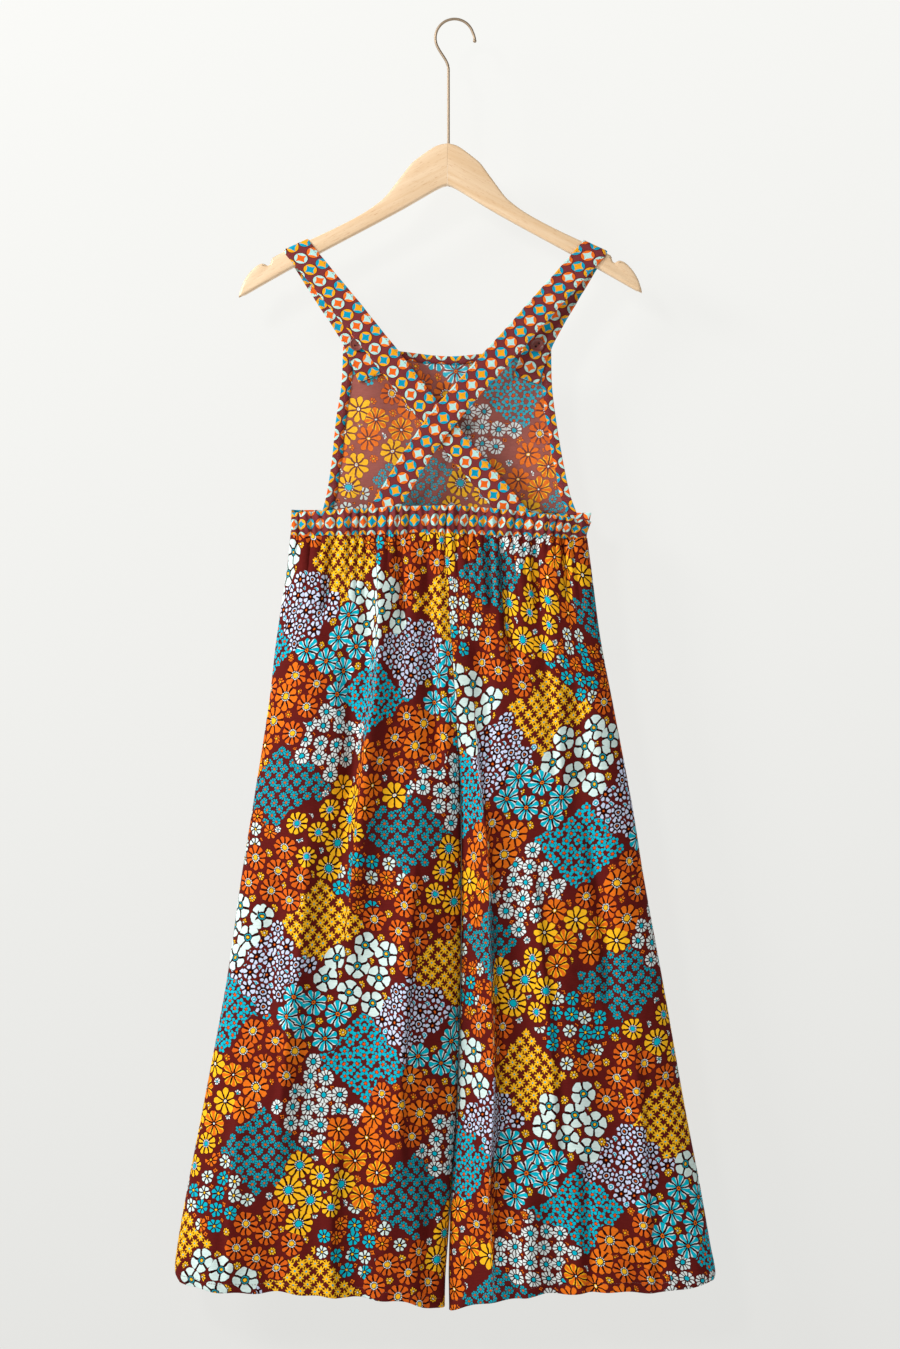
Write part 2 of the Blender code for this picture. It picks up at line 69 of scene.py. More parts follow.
def linear(code):
    """The linear colour of an sRGB hex value, solid."""
    shares = [int(code[n:n + 2], 16) / 255 for n in (1, 3, 5)]
    return (*(s / 12.92 if s <= 0.04045 else ((s + 0.055) / 1.055) ** 2.4 for s in shares), 1.0)


def node(tree, kind, inputs=(), **settings):
    """Adds a shader node. An input is a value, a socket, or a node that gives its first output in use."""
    made = tree.nodes.new(f"ShaderNode{kind}")
    for name, value in settings.items():
        setattr(made, name, value)
    for name, value in inputs.items() if isinstance(inputs, dict) else enumerate(inputs):
        if isinstance(value, bpy.types.Node):
            value = next(output for output in value.outputs if output.enabled)
        if isinstance(value, bpy.types.NodeSocket):
            tree.links.new(value, made.inputs[name])
        else:
            made.inputs[name].default_value = value
    return made


def finish(name, **values):
    """A new material: its tree and its shader, with the shader's own values set."""
    material = bpy.data.materials.new(name)
    material.use_nodes = True
    shader = material.node_tree.nodes["Principled BSDF"]
    for key, value in values.items():
        socket = shader.inputs[key.replace("_", " ")]
        socket.default_value = linear(value) if isinstance(value, str) else value
    return material, material.node_tree, shader


def bend(a, b, leaving, arriving, t):
    """The place at t, 0 to 1, on a smooth curve from a to b that has these headings at its ends."""
    return (
        a * (2 * t**3 - 3 * t**2 + 1)
        + b * (3 * t**2 - 2 * t**3)
        + leaving * (t**3 - 2 * t**2 + t)
        + arriving * (t**3 - t**2)
    )


def smooth_run(points, steps):
    """Places on a smooth curve through the points, with that many steps between two of them."""
    points = [Vector(point) for point in points]
    places = []
    for n in range(len(points) - 1):
        a, b = points[n], points[n + 1]
        before, after = points[max(n - 1, 0)], points[min(n + 2, len(points) - 1)]
        places += [bend(a, b, (b - before) / 2, (after - a) / 2, step / steps) for step in range(steps)]
    return [*places, points[-1]]


def only(piece):
    """Deselects everything but this piece and makes it active."""
    bpy.ops.object.select_all(action="DESELECT")
    piece.select_set(True)
    bpy.context.view_layer.objects.active = piece


def arm_outline(side):
    """The arm's outline from the seam's top, round the tip and back along the underside."""
    top = smooth_run([*ARM_CROWN, *ARM_TOP, *ARM_NOTCH, *ARM_TIP], 4)
    outline = []
    for reach, rise in [*top, *smooth_run(ARM_UNDERSIDE, 5)]:
        if side > 0:
            rise *= 1.0 - RIGHT_ARM_LIFT * reach / ARM_TIP[-1][0]
            reach *= RIGHT_ARM_REACH
        outline.append((ARM_SEAM_X + side * (reach + ARM_SEAM_GAP / 2), ARM_APEX + rise))
    return outline


def lacquered_beech(name, slope):
    # Beech: pale pinkish tan, close straight grain, short darker flecks, under a thin satin lacquer.
    material, tree, shader = finish(name, Roughness=0.45, Coat_Weight=0.15, Coat_Roughness=0.3)
    place = node(tree, "TexCoord").outputs["Object"]
    grain = node(tree, "Mapping", {"Vector": place, "Rotation": (0.0, math.radians(slope), 0.0)})
    bands = node(tree, "Mapping", {"Vector": grain, "Scale": (9.0, 60.0, 190.0)})
    bands = node(tree, "TexNoise", {"Vector": bands, "Scale": 1.0, "Detail": 5.0, "Roughness": 0.6})
    flecks = node(tree, "Mapping", {"Vector": grain, "Scale": (150.0, 900.0, 1400.0)})
    flecks = node(tree, "TexNoise", {"Vector": flecks, "Scale": 1.0, "Detail": 2.0})
    flecks = node(tree, "MapRange", {0: flecks, 1: 0.62, 2: 0.72, 3: 0.0, 4: 0.55})
    tone = node(tree, "ValToRGB", (bands,))
    stops = tone.color_ramp.elements
    stops[0].position, stops[0].color = 0.3, linear("#d7b388")
    stops[1].position, stops[1].color = 0.7, linear("#e6caa7")
    colour = node(tree, "Mix", {0: flecks, 6: tone, 7: linear("#b98558")}, data_type="RGBA")
    tree.links.new(colour.outputs[2], shader.inputs["Base Color"])
    bump = node(tree, "Bump", {"Strength": 0.12, "Distance": 0.0003, "Height": bands})
    tree.links.new(bump.outputs[0], shader.inputs["Normal"])
    return material


for side, side_name in ((-1, "left"), (1, "right")):
    outline = arm_outline(side)
    seam_x, far_x = outline[0][0], outline[0][0] - side * SAWN_OVER
    slope = (outline[-2][1] - outline[-1][1]) / abs(outline[-2][0] - outline[-1][0])
    outline = [(far_x, outline[0][1]), *outline, (far_x, outline[-1][1] - slope * SAWN_OVER)]
    bpy.ops.object.select_all(action="DESELECT")
    bpy.ops.mesh.primitive_circle_add(vertices=len(outline), radius=1.0, fill_type="NGON")
    arm = bpy.context.object
    arm.name = arm.data.name = f"beech_arm_{side_name}"
    for vert, (x, z) in zip(arm.data.vertices, outline):
        vert.co = Vector((x, -ARM_THICK / 2, z)) * MM
    bpy.ops.object.mode_set(mode="EDIT")
    bpy.ops.mesh.select_all(action="SELECT")
    bpy.ops.mesh.extrude_region_move(TRANSFORM_OT_translate={"value": (0.0, ARM_THICK * MM, 0.0)})
    bpy.ops.mesh.select_all(action="SELECT")
    bpy.ops.mesh.normals_make_consistent(inside=False)
    bpy.ops.mesh.select_all(action="DESELECT")
    bpy.ops.object.mode_set(mode="OBJECT")
    for edge in arm.data.edges:
        ends = [arm.data.vertices[v].co for v in edge.vertices]
        edge.select = abs(ends[0].y - ends[1].y) < 1e-6
    bpy.ops.object.mode_set(mode="EDIT")
    bpy.ops.mesh.bevel(offset=ARM_ROUND * MM, segments=4, affect="EDGES", clamp_overlap=False)
    bpy.ops.mesh.select_all(action="SELECT")
    bpy.ops.mesh.bisect(plane_co=(seam_x * MM, 0.0, 0.0), plane_no=(-side, 0.0, 0.0), use_fill=True,
                        clear_outer=True)
    bpy.ops.object.mode_set(mode="OBJECT")
    only(arm)
    bpy.ops.object.shade_smooth_by_angle(angle=math.radians(35.0))
    arm.data.materials.append(lacquered_beech(f"lacquered beech {side_name}", -side * ARM_SLOPE))
    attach(arm, "root")
    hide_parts(f"hanger_arm_{side_name}")

# Hook ---------------------------------------------------------------------------------------------
# One nickel-plated steel wire, bent round a former, with a bead at the open end and its straight
# stem screwed down into the top of the two arms.

WIRE = 3.0
HOOK_RADIUS = 21.0
HOOK_CENTRE_X = 6.6
HOOK_TIP_ANGLE, HOOK_INNER_ANGLE, HOOK_STEP = -8, 216, 7
HOOK_TIP_FLARE, HOOK_FLARE_OVER = 0.07, 28.0  # share of the radius, degrees from the tip
HOOK_NECK_STEPS = 10
STEM_TOP = -53.0
STEM_FOOT = -158.0
BEAD = 2.05


def smooth(t):
    """0 to 1 with a soft start and end, for numbers and arrays."""
    t = np.clip(t, 0.0, 1.0)
    return t * t * (3.0 - 2.0 * t)


def face_out(merge=0.0):
    """Turns the active mesh's faces outwards, once points within merge, in metres, are made one."""
    bpy.ops.object.mode_set(mode="EDIT")
    bpy.ops.mesh.select_all(action="SELECT")
    if merge:
        bpy.ops.mesh.remove_doubles(threshold=merge)
    bpy.ops.mesh.normals_make_consistent(inside=False)
    bpy.ops.object.mode_set(mode="OBJECT")


def hook_route():
    """Middle of the wire from the open end, over the crown, back in to the stem and down it."""
    centre = Vector((HOOK_CENTRE_X, 0.0, -math.sqrt((HOOK_RADIUS - WIRE / 2) ** 2 - HOOK_CENTRE_X**2)))
    route = []
    for angle in range(HOOK_TIP_ANGLE, HOOK_INNER_ANGLE, HOOK_STEP):
        turn = math.radians(angle)
        flare = HOOK_TIP_FLARE * smooth(1.0 - (angle - HOOK_TIP_ANGLE) / HOOK_FLARE_OVER)
        route.append(centre + Vector((math.cos(turn), 0.0, math.sin(turn))) * HOOK_RADIUS * (1.0 + flare))
    start, foot = route[-1], Vector((0.0, 0.0, STEM_TOP))
    reach = (foot - start).length
    leaving = (start - route[-2]).normalized() * reach
    arriving = Vector((0.0, 0.0, -reach))
    for n in range(HOOK_NECK_STEPS):
        route.append(bend(start, foot, leaving, arriving, (n + 1) / HOOK_NECK_STEPS))
    return [*route, Vector((0.0, 0.0, STEM_FOOT))]


bpy.ops.object.select_all(action="DESELECT")
bpy.ops.curve.primitive_bezier_curve_add()
hook = bpy.context.object
hook.data.splines.clear()
wire = hook.data.splines.new("POLY")
route = hook_route()
wire.points.add(len(route) - 1)
for point, place in zip(wire.points, route):
    point.co = (*(place * MM), 1.0)
hook.data.dimensions = "3D"
hook.data.bevel_depth = WIRE / 2 * MM
hook.data.bevel_resolution = 5
hook.data.use_fill_caps = True
only(hook)
bpy.ops.object.convert(target="MESH")
hook = bpy.context.object
hook.name = hook.data.name = "nickel_hook"
tip = route[0] * MM
bpy.ops.mesh.primitive_uv_sphere_add(segments=24, ring_count=14, radius=BEAD * MM, location=tip)
bpy.ops.object.transform_apply(location=True)
hook.select_set(True)
bpy.context.view_layer.objects.active = hook
bpy.ops.object.join()
face_out(merge=1e-6)
bpy.ops.object.shade_smooth_by_angle(angle=math.radians(40.0))
# Satin nickel plate: a warm grey metal with faint lengthwise drawing marks that soften its glints.
nickel, tree, shader = finish("satin nickel plate", Base_Color="#a3907b", Metallic=1.0, Roughness=0.55)
place = node(tree, "TexCoord").outputs["Object"]
marks = node(tree, "Mapping", {"Vector": place, "Scale": (900.0, 900.0, 60.0)})
marks = node(tree, "TexNoise", {"Vector": marks, "Scale": 1.0, "Detail": 2.0})
rough = node(tree, "MapRange", {0: marks, 3: 0.53, 4: 0.59})
tree.links.new(rough.outputs[0], shader.inputs["Roughness"])
hook.data.materials.append(nickel)
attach(hook, "root")
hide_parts("hanger_hook")

# Legs ---------------------------------------------------------------------------------------------
# Four panels of thin printed viscose, two behind and two in front, sewn at the sides, down the
# middle to the crotch and along each inseam. The waist edge is drawn up small into the waistband,
# so gathers run down from it; below them the cloth falls in a few long soft folds to a narrow hem.

SHALLOW = 2.15
SIDE_ROUND = 50.0
LEG_CLOTH = 0.9
CROTCH_START, CROTCH = -745.0, -872.0
LEG_GAP_START, LEG_GAP_OPENS_OVER, LEG_GAP_AT_HEM = -1300.0, 120.0, 4.6
FOLDS_CLEAR_SEAM = 25.0
TUCK = 2.0

# Columns: height, left side, right side, line between the legs, half depth behind and in front.
LEG_OUTLINE = (
    (-564.0, -173.0, 151.5, -4.5, 13.0, 13.0),
    (-605.0, -177.5, 157.0, -3.0, 17.0, 15.0),
    (-678.0, -188.5, 166.5, 3.0, 21.0, 18.0),
    (-754.0, -197.5, 181.0, 8.0, 24.0, 20.0),
    (-865.0, -215.0, 202.0, 13.5, 26.0, 22.0),
    (-943.0, -227.5, 214.5, 14.0, 27.0, 23.0),
    (-1055.0, -243.5, 235.0, 13.5, 28.0, 24.0),
    (-1197.0, -270.0, 260.0, 9.0, 30.0, 26.0),
    (-1277.0, -285.5, 275.5, 3.5, 31.0, 28.0),
    (-1345.0, -297.5, 287.5, 0.0, 32.0, 29.0),
    (-1376.0, -300.0, 293.0, -1.5, 32.0, 29.0),
    (-1390.0, -293.0, 289.0, -1.7, 32.0, 29.0),
    (-1420.0, -288.0, 284.0, -1.7, 32.0, 29.0),
)
LEFT_SIDE, RIGHT_SIDE, CENTRE, BACK_DEPTH, FRONT_DEPTH = range(1, 6)
WAIST_SEAM = ((-175.0, -567.0), (-60.0, -565.5), (-5.0, -564.5), (75.0, -567.0), (158.0, -570.5))
# Columns: share of the way from the side to the inseam, height on the left leg, on the right leg.
HEM = (
    (0.0, -1384.0, -1381.0),
    (0.15, -1390.5, -1389.5),
    (0.4, -1391.5, -1390.5),
    (0.65, -1397.0, -1394.0),
    (0.85, -1401.0, -1401.0),
    (0.94, -1410.0, -1410.0),
    (1.0, -1413.0, -1415.0),
)
# Long folds. Columns: side, face, share across at the top and foot, top and foot heights, half
# width, depth outwards.
LEG_FOLDS = (
    (-1, -1, 0.59, 0.50, -566.0, -1110.0, 16.0, 7.0),
    (-1, -1, 0.22, 0.30, -640.0, -1395.0, 24.0, 8.0),
    (-1, -1, 0.78, 0.74, -820.0, -1425.0, 22.0, 9.0),
    (1, -1, 0.38, 0.30, -590.0, -980.0, 18.0, -7.0),
    (1, -1, 0.84, 0.85, -700.0, -1330.0, 16.0, 8.0),
    (1, -1, 0.55, 0.45, -860.0, -1430.0, 26.0, 9.0),
    (-1, 1, 0.45, 0.40, -620.0, -1430.0, 26.0, 9.0),
    (-1, 1, 0.80, 0.76, -760.0, -1330.0, 20.0, -7.0),
    (1, 1, 0.35, 0.42, -600.0, -1280.0, 22.0, 8.0),
    (1, 1, 0.72, 0.70, -880.0, -1430.0, 26.0, 9.0),
)
# The right leg's long pleat, as across and height. It is a crease, and it hides some cloth.
RIGHT_PLEAT = (
    (28.0, -750), (34.6, -837), (43, -920), (45, -1000), (50, -1170), (45, -1280), (50, -1400))
# Creases by side and face: width on its left, width on its right, depth outwards, then the places
# that it runs through, as across and height.
CREASES = {
    (-1, -1): (
        (5.0, 13.0, 4.5,
         ((-76.5, -566), (-76.5, -680), (-79, -731), (-89, -790), (-97, -865), (-114, -1040))),
        (13.0, 5.0, -5.0,
         ((-85.5, -590), (-86, -680), (-89, -731), (-99, -790), (-108, -865), (-122, -980))),
        (14.0, 5.0, -6.5, ((-19.0, -560), (-17, -640), (-15, -740), (-9, -840))),
        (5.0, 4.0, 3.0, ((-9.0, -560), (-8, -640), (-4, -740), (2, -840))),
        (9.0, 9.0, -4.5, ((-112.0, -680), (-110, -740), (-108, -800), (-116, -880))),
        (6.0, 5.0, -5.0, ((-52.0, -556), (-51, -610), (-48, -668))),
        (5.0, 6.0, -4.5, ((-128.0, -560), (-131, -610), (-137, -660))),
        (5.0, 16.0, 5.0, ((-150.0, -860), (-160, -1000), (-176, -1120), (-190, -1280))),
        (16.0, 5.0, 5.5, ((-36.0, -900), (-44, -1050), (-52, -1170), (-48, -1300))),
        (10.0, 8.0, -6.0, ((-24.0, -1210), (-21, -1310), (-26, -1416))),
        (6.0, 16.0, 5.0, ((-226.0, -1160), (-236, -1270), (-240, -1410))),
        (14.0, 5.0, 5.0, ((-120.0, -1210), (-128, -1320), (-124, -1420))),
        (12.0, 9.0, -4.5, ((-178.0, -900), (-190, -1010), (-200, -1130))),
    ),
    (1, -1): (
        (20.0, 2.6, 6.5, RIGHT_PLEAT),
        (4.0, 9.0, -4.0, ((50.0, -880), (53, -1000), (58, -1170), (53, -1280), (58, -1390))),
        (4.0, 9.0, -7.0, ((58.0, -556), (59, -610), (64, -670), (72, -720))),
        (4.0, 4.0, -4.5, ((45.0, -556), (45, -600), (47, -650))),
        (15.0, 9.0, -5.5, ((34.0, -660), (40, -740), (50, -850))),
        (12.0, 8.0, -5.5, ((136.0, -720), (146, -780), (158, -850))),
        (5.0, 14.0, 5.0, ((108.0, -580), (112, -680), (120, -760), (126, -880))),
        (4.0, 7.0, -5.0, ((92.0, -556), (94, -600), (99, -655))),
        (5.0, 4.0, -4.5, ((124.0, -556), (128, -600), (133, -640))),
        (14.0, 5.0, 5.0, ((86.0, -890), (100, -1020), (112, -1150), (118, -1300))),
        (7.0, 12.0, -5.0, ((150.0, -860), (166, -980), (178, -1100))),
        (16.0, 5.0, 5.5, ((200.0, -1100), (212, -1240), (222, -1416))),
        (8.0, 9.0, -6.0, ((150.0, -1230), (152, -1330), (158, -1416))),
        (7.0, 14.0, 4.5, ((84.0, -1260), (86, -1340), (84, -1420))),
    ),
    (-1, 1): (
        (5.0, 14.0, 5.0, ((-110.0, -570), (-112, -680), (-124, -800), (-134, -960))),
        (14.0, 5.0, 5.5, ((-40.0, -590), (-44, -720), (-52, -860), (-60, -1030))),
        (9.0, 9.0, -5.0, ((-80.0, -840), (-88, -980), (-98, -1120))),
        (6.0, 16.0, 5.0, ((-170.0, -1000), (-190, -1150), (-204, -1400))),
        (13.0, 6.0, 5.0, ((-90.0, -1160), (-94, -1290), (-90, -1416))),
    ),
    (1, 1): (
        (13.0, 4.0, 5.5, ((52.0, -570), (56, -690), (60, -820), (70, -980))),
        (6.0, 12.0, -5.5, ((96.0, -620), (104, -760), (118, -920))),
        (5.0, 15.0, 5.0, ((130.0, -690), (142, -850), (150, -1030))),
        (15.0, 6.0, 5.0, ((84.0, -1040), (92, -1200), (96, -1410))),
        (7.0, 11.0, 4.5, ((196.0, -1090), (214, -1250), (226, -1410))),
    ),
}
LONG_FOLD_DEPTH, CREASE_DEPTH = 1.2, 1.6  # times the depths in the tables
GATHERS = {-1: 7.2, 1: 2.2}
GATHERS_REACH = (82.0, 38.0, 20.0)  # down from the waist, and how much that varies in two ways
GATHERS_CLEAR = 330.0
SWAY_START, SWAY_OPENS_OVER, SWAY = -1215.0, 190.0, (3.2, 1.8)
HEM_SWAY = (0.9, 0.8)
RIPPLES, CRINKLES = (1.0, 0.5), 0.16
SEAM_DIP, SEAM_DIP_WIDTH = 1.3, 3.5
# Pleats that hide some cloth. Columns: side, face, cloth hidden, the places that it runs through.
PLEATS = (
    (1, -1, 17.0, RIGHT_PLEAT),
    (-1, -1, 9.0,
     ((-78.0, -566), (-78.0, -680), (-81, -731), (-91, -790), (-99, -865), (-116, -1040))),
    (1, -1, 7.0, ((56.0, -556), (57, -610), (62, -670), (70, -720))),
)
PLEAT_WIDTH = 3.0
HEM_TURN = ((0.25, 0.35), (0.8, 0.5), (1.35, 0.35), (1.6, 0.0))
HEM_ROWS = 4
HEM_STITCHES_UP = 3  # rows of the grid above the hem's edge
STITCH, STITCH_GAP = 3.0, 0.7
THREAD = 0.5  # thicker than the real 0.3 mm thread, which is too fine to show
TWIST = 2500.0  # turns of its yarns in a metre
WEAVE = 0.7  # spacing of the drawn threads: real ones, at 0.3 mm, are too fine to show


def read(table, key, column=1):
    """Reads a column on a smooth curve through the table's rows, whose first column is the key."""
    rows = np.array(sorted(row[:1] + (row[column],) for row in table), float)
    keys, values = rows[:, 0], rows[:, 1]
    slope = np.empty_like(values)
    slope[1:-1] = (values[2:] - values[:-2]) / (keys[2:] - keys[:-2])
    slope[0] = (values[1] - values[0]) / (keys[1] - keys[0])
    slope[-1] = (values[-1] - values[-2]) / (keys[-1] - keys[-2])
    i = np.clip(np.searchsorted(keys, key) - 1, 0, len(keys) - 2)
    step = keys[i + 1] - keys[i]
    t = np.clip((key - keys[i]) / step, 0.0, 1.0)
    return bend(values[i], values[i + 1], slope[i] * step, slope[i + 1] * step, t)


def side_curve(distance):
    """How far a side has rounded out to full depth, at a distance in from its edge."""
    return np.sqrt(1.0 - (1.0 - np.clip(distance / SIDE_ROUND, 0.0, 1.0)) ** 2)


def gather(x, sharp=0.7):
    """Height of the small gathers at a place across the waist, 0 to 1: round tops, sharp valleys."""
    share = (x - LEG_OUTLINE[0][LEFT_SIDE]) / (LEG_OUTLINE[0][RIGHT_SIDE] - LEG_OUTLINE[0][LEFT_SIDE])
    turn = 27.0 * (share + 0.011 * np.sin(20.7 * share + 0.7) + 0.006 * np.sin(47.0 * share + 2.0))
    size = 0.72 + 0.28 * np.sin(35.8 * share + 1.3)
    return size * np.abs(np.sin(math.pi * turn)) ** sharp


def crease(x, height, left, right, depth, places):
    """A soft ridge or trough along a route, wider on one side, dying out at both ends."""
    table = [(-z, along) for along, z in places]
    top, foot = table[0][0], table[-1][0]
    down = (-height - top) / (foot - top)
    off = x - read(table, np.clip(-height, top, foot))
    fade = smooth(down / 0.22) * smooth((1.0 - down) / 0.22)
    return depth * fade * np.exp(-((off / np.where(off < 0.0, left, right)) ** 2))


def leg_points(side, face, columns, rows):
    """The places of a leg panel's grid, rows down and columns in from the side seam."""
    share = np.linspace(0.0, 1.0, columns - 1)
    share = share - 0.035 * np.sin(2.0 * math.pi * share)
    share = np.concatenate([[0.0], share])[None, :] * np.ones((rows, 1))
    at_seam = np.zeros(share.shape, bool)
    at_seam[:, 0] = True
    down = np.linspace(0.0, 1.0, rows)[:, None] * np.ones((1, columns))
    side_column = LEFT_SIDE if side < 0 else RIGHT_SIDE
    waist_x = LEG_OUTLINE[0][side_column] * (1.0 - share) + LEG_OUTLINE[0][CENTRE] * share
    top = read(WAIST_SEAM, waist_x) + TUCK
    hem = read(HEM, share, 1 if side < 0 else 2)
    waves = HEM_SWAY[0] * np.sin(share * 41.0 + side) + HEM_SWAY[1] * np.sin(share * 23.0 + face)
    hem = hem + smooth(share / 0.1) * waves
    height = top + (hem - top) * down
    closing = smooth((CROTCH_START - height) / (CROTCH_START - CROTCH))
    parting = smooth((LEG_GAP_START - height) / LEG_GAP_OPENS_OVER)
    leg_gap = 0.06 + LEG_GAP_AT_HEM * parting
    outer = read(LEG_OUTLINE, height, side_column)
    inner = read(LEG_OUTLINE, height, CENTRE) + side * (leg_gap + LEG_CLOTH * np.sqrt(closing)) / 2
    full = read(LEG_OUTLINE, height, BACK_DEPTH if face < 0 else FRONT_DEPTH)
    width = np.abs(inner - outer)
    shape = side_curve(share * width) * (1.0 - closing * (1.0 - side_curve((1.0 - share) * width)))
    x = outer + (inner - outer) * share
    depth = SHALLOW + (full - SHALLOW) * shape
    clear = smooth(share * width / FOLDS_CLEAR_SEAM) * smooth((1.0 - share) * width / FOLDS_CLEAR_SEAM)
    folds = np.zeros(share.shape)
    for fold_side, fold_face, top_share, foot_share, high, low, half_width, out in LEG_FOLDS:
        if (fold_side, fold_face) == (side, face):
            along = np.clip((high - height) / (high - low), 0.0, 1.0)
            off = (share - top_share - (foot_share - top_share) * along) * width
            folds += LONG_FOLD_DEPTH * out * np.sin(math.pi * along) * np.exp(-((off / half_width) ** 2))
    for left, right, out, places in CREASES[side, face]:
        folds += crease(x, height, left, right, out * CREASE_DEPTH, places)
    depth += folds * clear
    below = top - height
    usual, varies, slowly = GATHERS_REACH
    reach = usual + varies * np.sin(waist_x / 9.0 + face) + slowly * np.sin(waist_x / 23.0)
    gathers = gather(waist_x) * np.clip(1.0 - below / reach, 0.0, 1.0) ** 1.4
    depth += GATHERS[face] * (0.6 + 0.4 * smooth(below / 12.0)) * gathers
    sway = SWAY[0] * np.sin(x / 17.0 + 2.1 * face) + SWAY[1] * np.sin(x / 7.4 + side)
    depth += clear * smooth((SWAY_START - height) / SWAY_OPENS_OVER) * sway
    ripple = np.sin(x / 31.0 + height / 87.0 + side) * np.sin(height / 46.0 - x / 120.0 + 2.0 * face)
    finer = np.sin(x / 9.0 - height / 31.0) * np.sin(height / 19.0 + x / 57.0)
    depth += clear * (RIPPLES[0] * ripple + RIPPLES[1] * finer)
    small = np.sin(x / 3.1 + height / 16.0 + 2.0 * np.sin(height / 23.0)) * np.sin(height / 7.3 + x / 11.0)
    depth += CRINKLES * clear * small * (1.0 + np.sin(x / 37.0 + height / 53.0 + face))
    depth -= SEAM_DIP * np.exp(-(((1.0 - share) * width / SEAM_DIP_WIDTH) ** 2)) * (1.0 - closing)
    depth = np.where(at_seam, 0.05, depth)
    points = np.stack([x, face * depth, height], axis=-1)
    # The hem: the cloth turns up inside and is stitched.
    turned = [points[-1:] + (0.0, -face * inwards, -drop) for inwards, drop in HEM_TURN]
    up = points[-2:-2 - HEM_ROWS:-1] + (0.0, -face * HEM_TURN[-1][0], 0.0)
    return np.concatenate([points, *turned, up])


def cloth_place(points, side, face, drawn_up):
    """Where each point of a panel lies on the flat cloth, in mm: the way across it is measured
    along the cloth from the column at its inner seam, so folds and gathers take up cloth."""
    steps = np.linalg.norm(np.diff(points[:, ::-1], axis=1), axis=-1)
    along = np.concatenate([np.zeros((len(points), 1)), np.cumsum(steps, axis=1)], axis=1)[:, ::-1]
    kernel = np.hanning(25)
    kernel /= kernel.sum()
    padded = np.pad(along, ((12, 12), (0, 0)), mode="edge")
    along = np.stack([np.convolve(padded[:, n], kernel, "valid") for n in range(along.shape[1])], axis=1)
    waist = LEG_OUTLINE[0]
    columns = np.linspace(waist[CENTRE], waist[LEFT_SIDE if side < 0 else RIGHT_SIDE], along.shape[1])
    taken = np.cumsum(np.abs(np.diff(gather(columns), prepend=gather(columns[:1]))))[::-1]
    gathered = 1.0 - smooth((points[:1, :, 2] - points[..., 2]) / GATHERS_CLEAR)
    for pleat_side, pleat_face, hidden, places in PLEATS:
        if (pleat_side, pleat_face) == (side, face):
            table = [(-z, x) for x, z in places]
            top, foot = table[0][0], table[-1][0]
            low = -points[..., 2]
            fade = smooth((low - top) / 60.0 + 0.3) * smooth((foot - low) / 60.0 + 0.3)
            route = read(table, np.clip(low, top, foot))
            past = smooth((points[..., 0] - route) * side / PLEAT_WIDTH + 0.5)
            along = along + hidden * fade * past
    fall = np.abs(np.diff(points[..., 2], axis=0, prepend=points[:1, :, 2]))
    down = points[:1, :, 2] - np.cumsum(fall, axis=0)
    return np.stack([points[:, -1:, 0] + side * (along + drawn_up * gathered * taken), down], axis=-1)


def panel(name, points, flat, outward, thickness, materials):
    """A cloth wall: a grid set to the points, with a UV map of its place on the flat cloth in
    metres, then thickened. The first material is the outer face, the second the inner. Where
    outward is None the grid is a folded tube, and it is sewn shut and thickened inwards."""
    rows, columns = points.shape[:2]
    bpy.ops.object.select_all(action="DESELECT")
    bpy.ops.mesh.primitive_grid_add(x_subdivisions=columns - 1, y_subdivisions=rows - 1, size=2.0)
    made = bpy.context.object
    made.name = made.data.name = name
    mesh = made.data
    laid = np.empty(len(mesh.vertices) * 3, np.float32)
    mesh.vertices.foreach_get("co", laid)
    column = np.rint((laid[0::3] + 1.0) / 2.0 * (columns - 1)).astype(int)
    row = np.rint((laid[1::3] + 1.0) / 2.0 * (rows - 1)).astype(int)
    mesh.vertices.foreach_set("co", (points[row, column] * MM).astype(np.float32).ravel())
    corners = np.empty(len(mesh.loops), np.int32)
    mesh.loops.foreach_get("vertex_index", corners)
    uv = mesh.uv_layers.active
    uv.name = "cloth"
    uv.data.foreach_set("uv", (flat[row[corners], column[corners]] * MM).astype(np.float32).ravel())
    mesh.update()
    if outward is None:
        face_out(merge=2e-6)
    elif sum((face.normal * face.area for face in mesh.polygons), Vector()).dot(Vector(outward)) < 0.0:
        mesh.flip_normals()
    mesh.shade_smooth()
    for material in materials:
        mesh.materials.append(material)
    wall = made.modifiers.new("cloth thickness", "SOLIDIFY")
    wall.thickness = thickness * MM
    wall.offset = -1.0 if outward is None else 0.0
    wall.material_offset = len(materials) - 1
    only(made)
    bpy.ops.object.modifier_apply(modifier=wall.name)
    return made


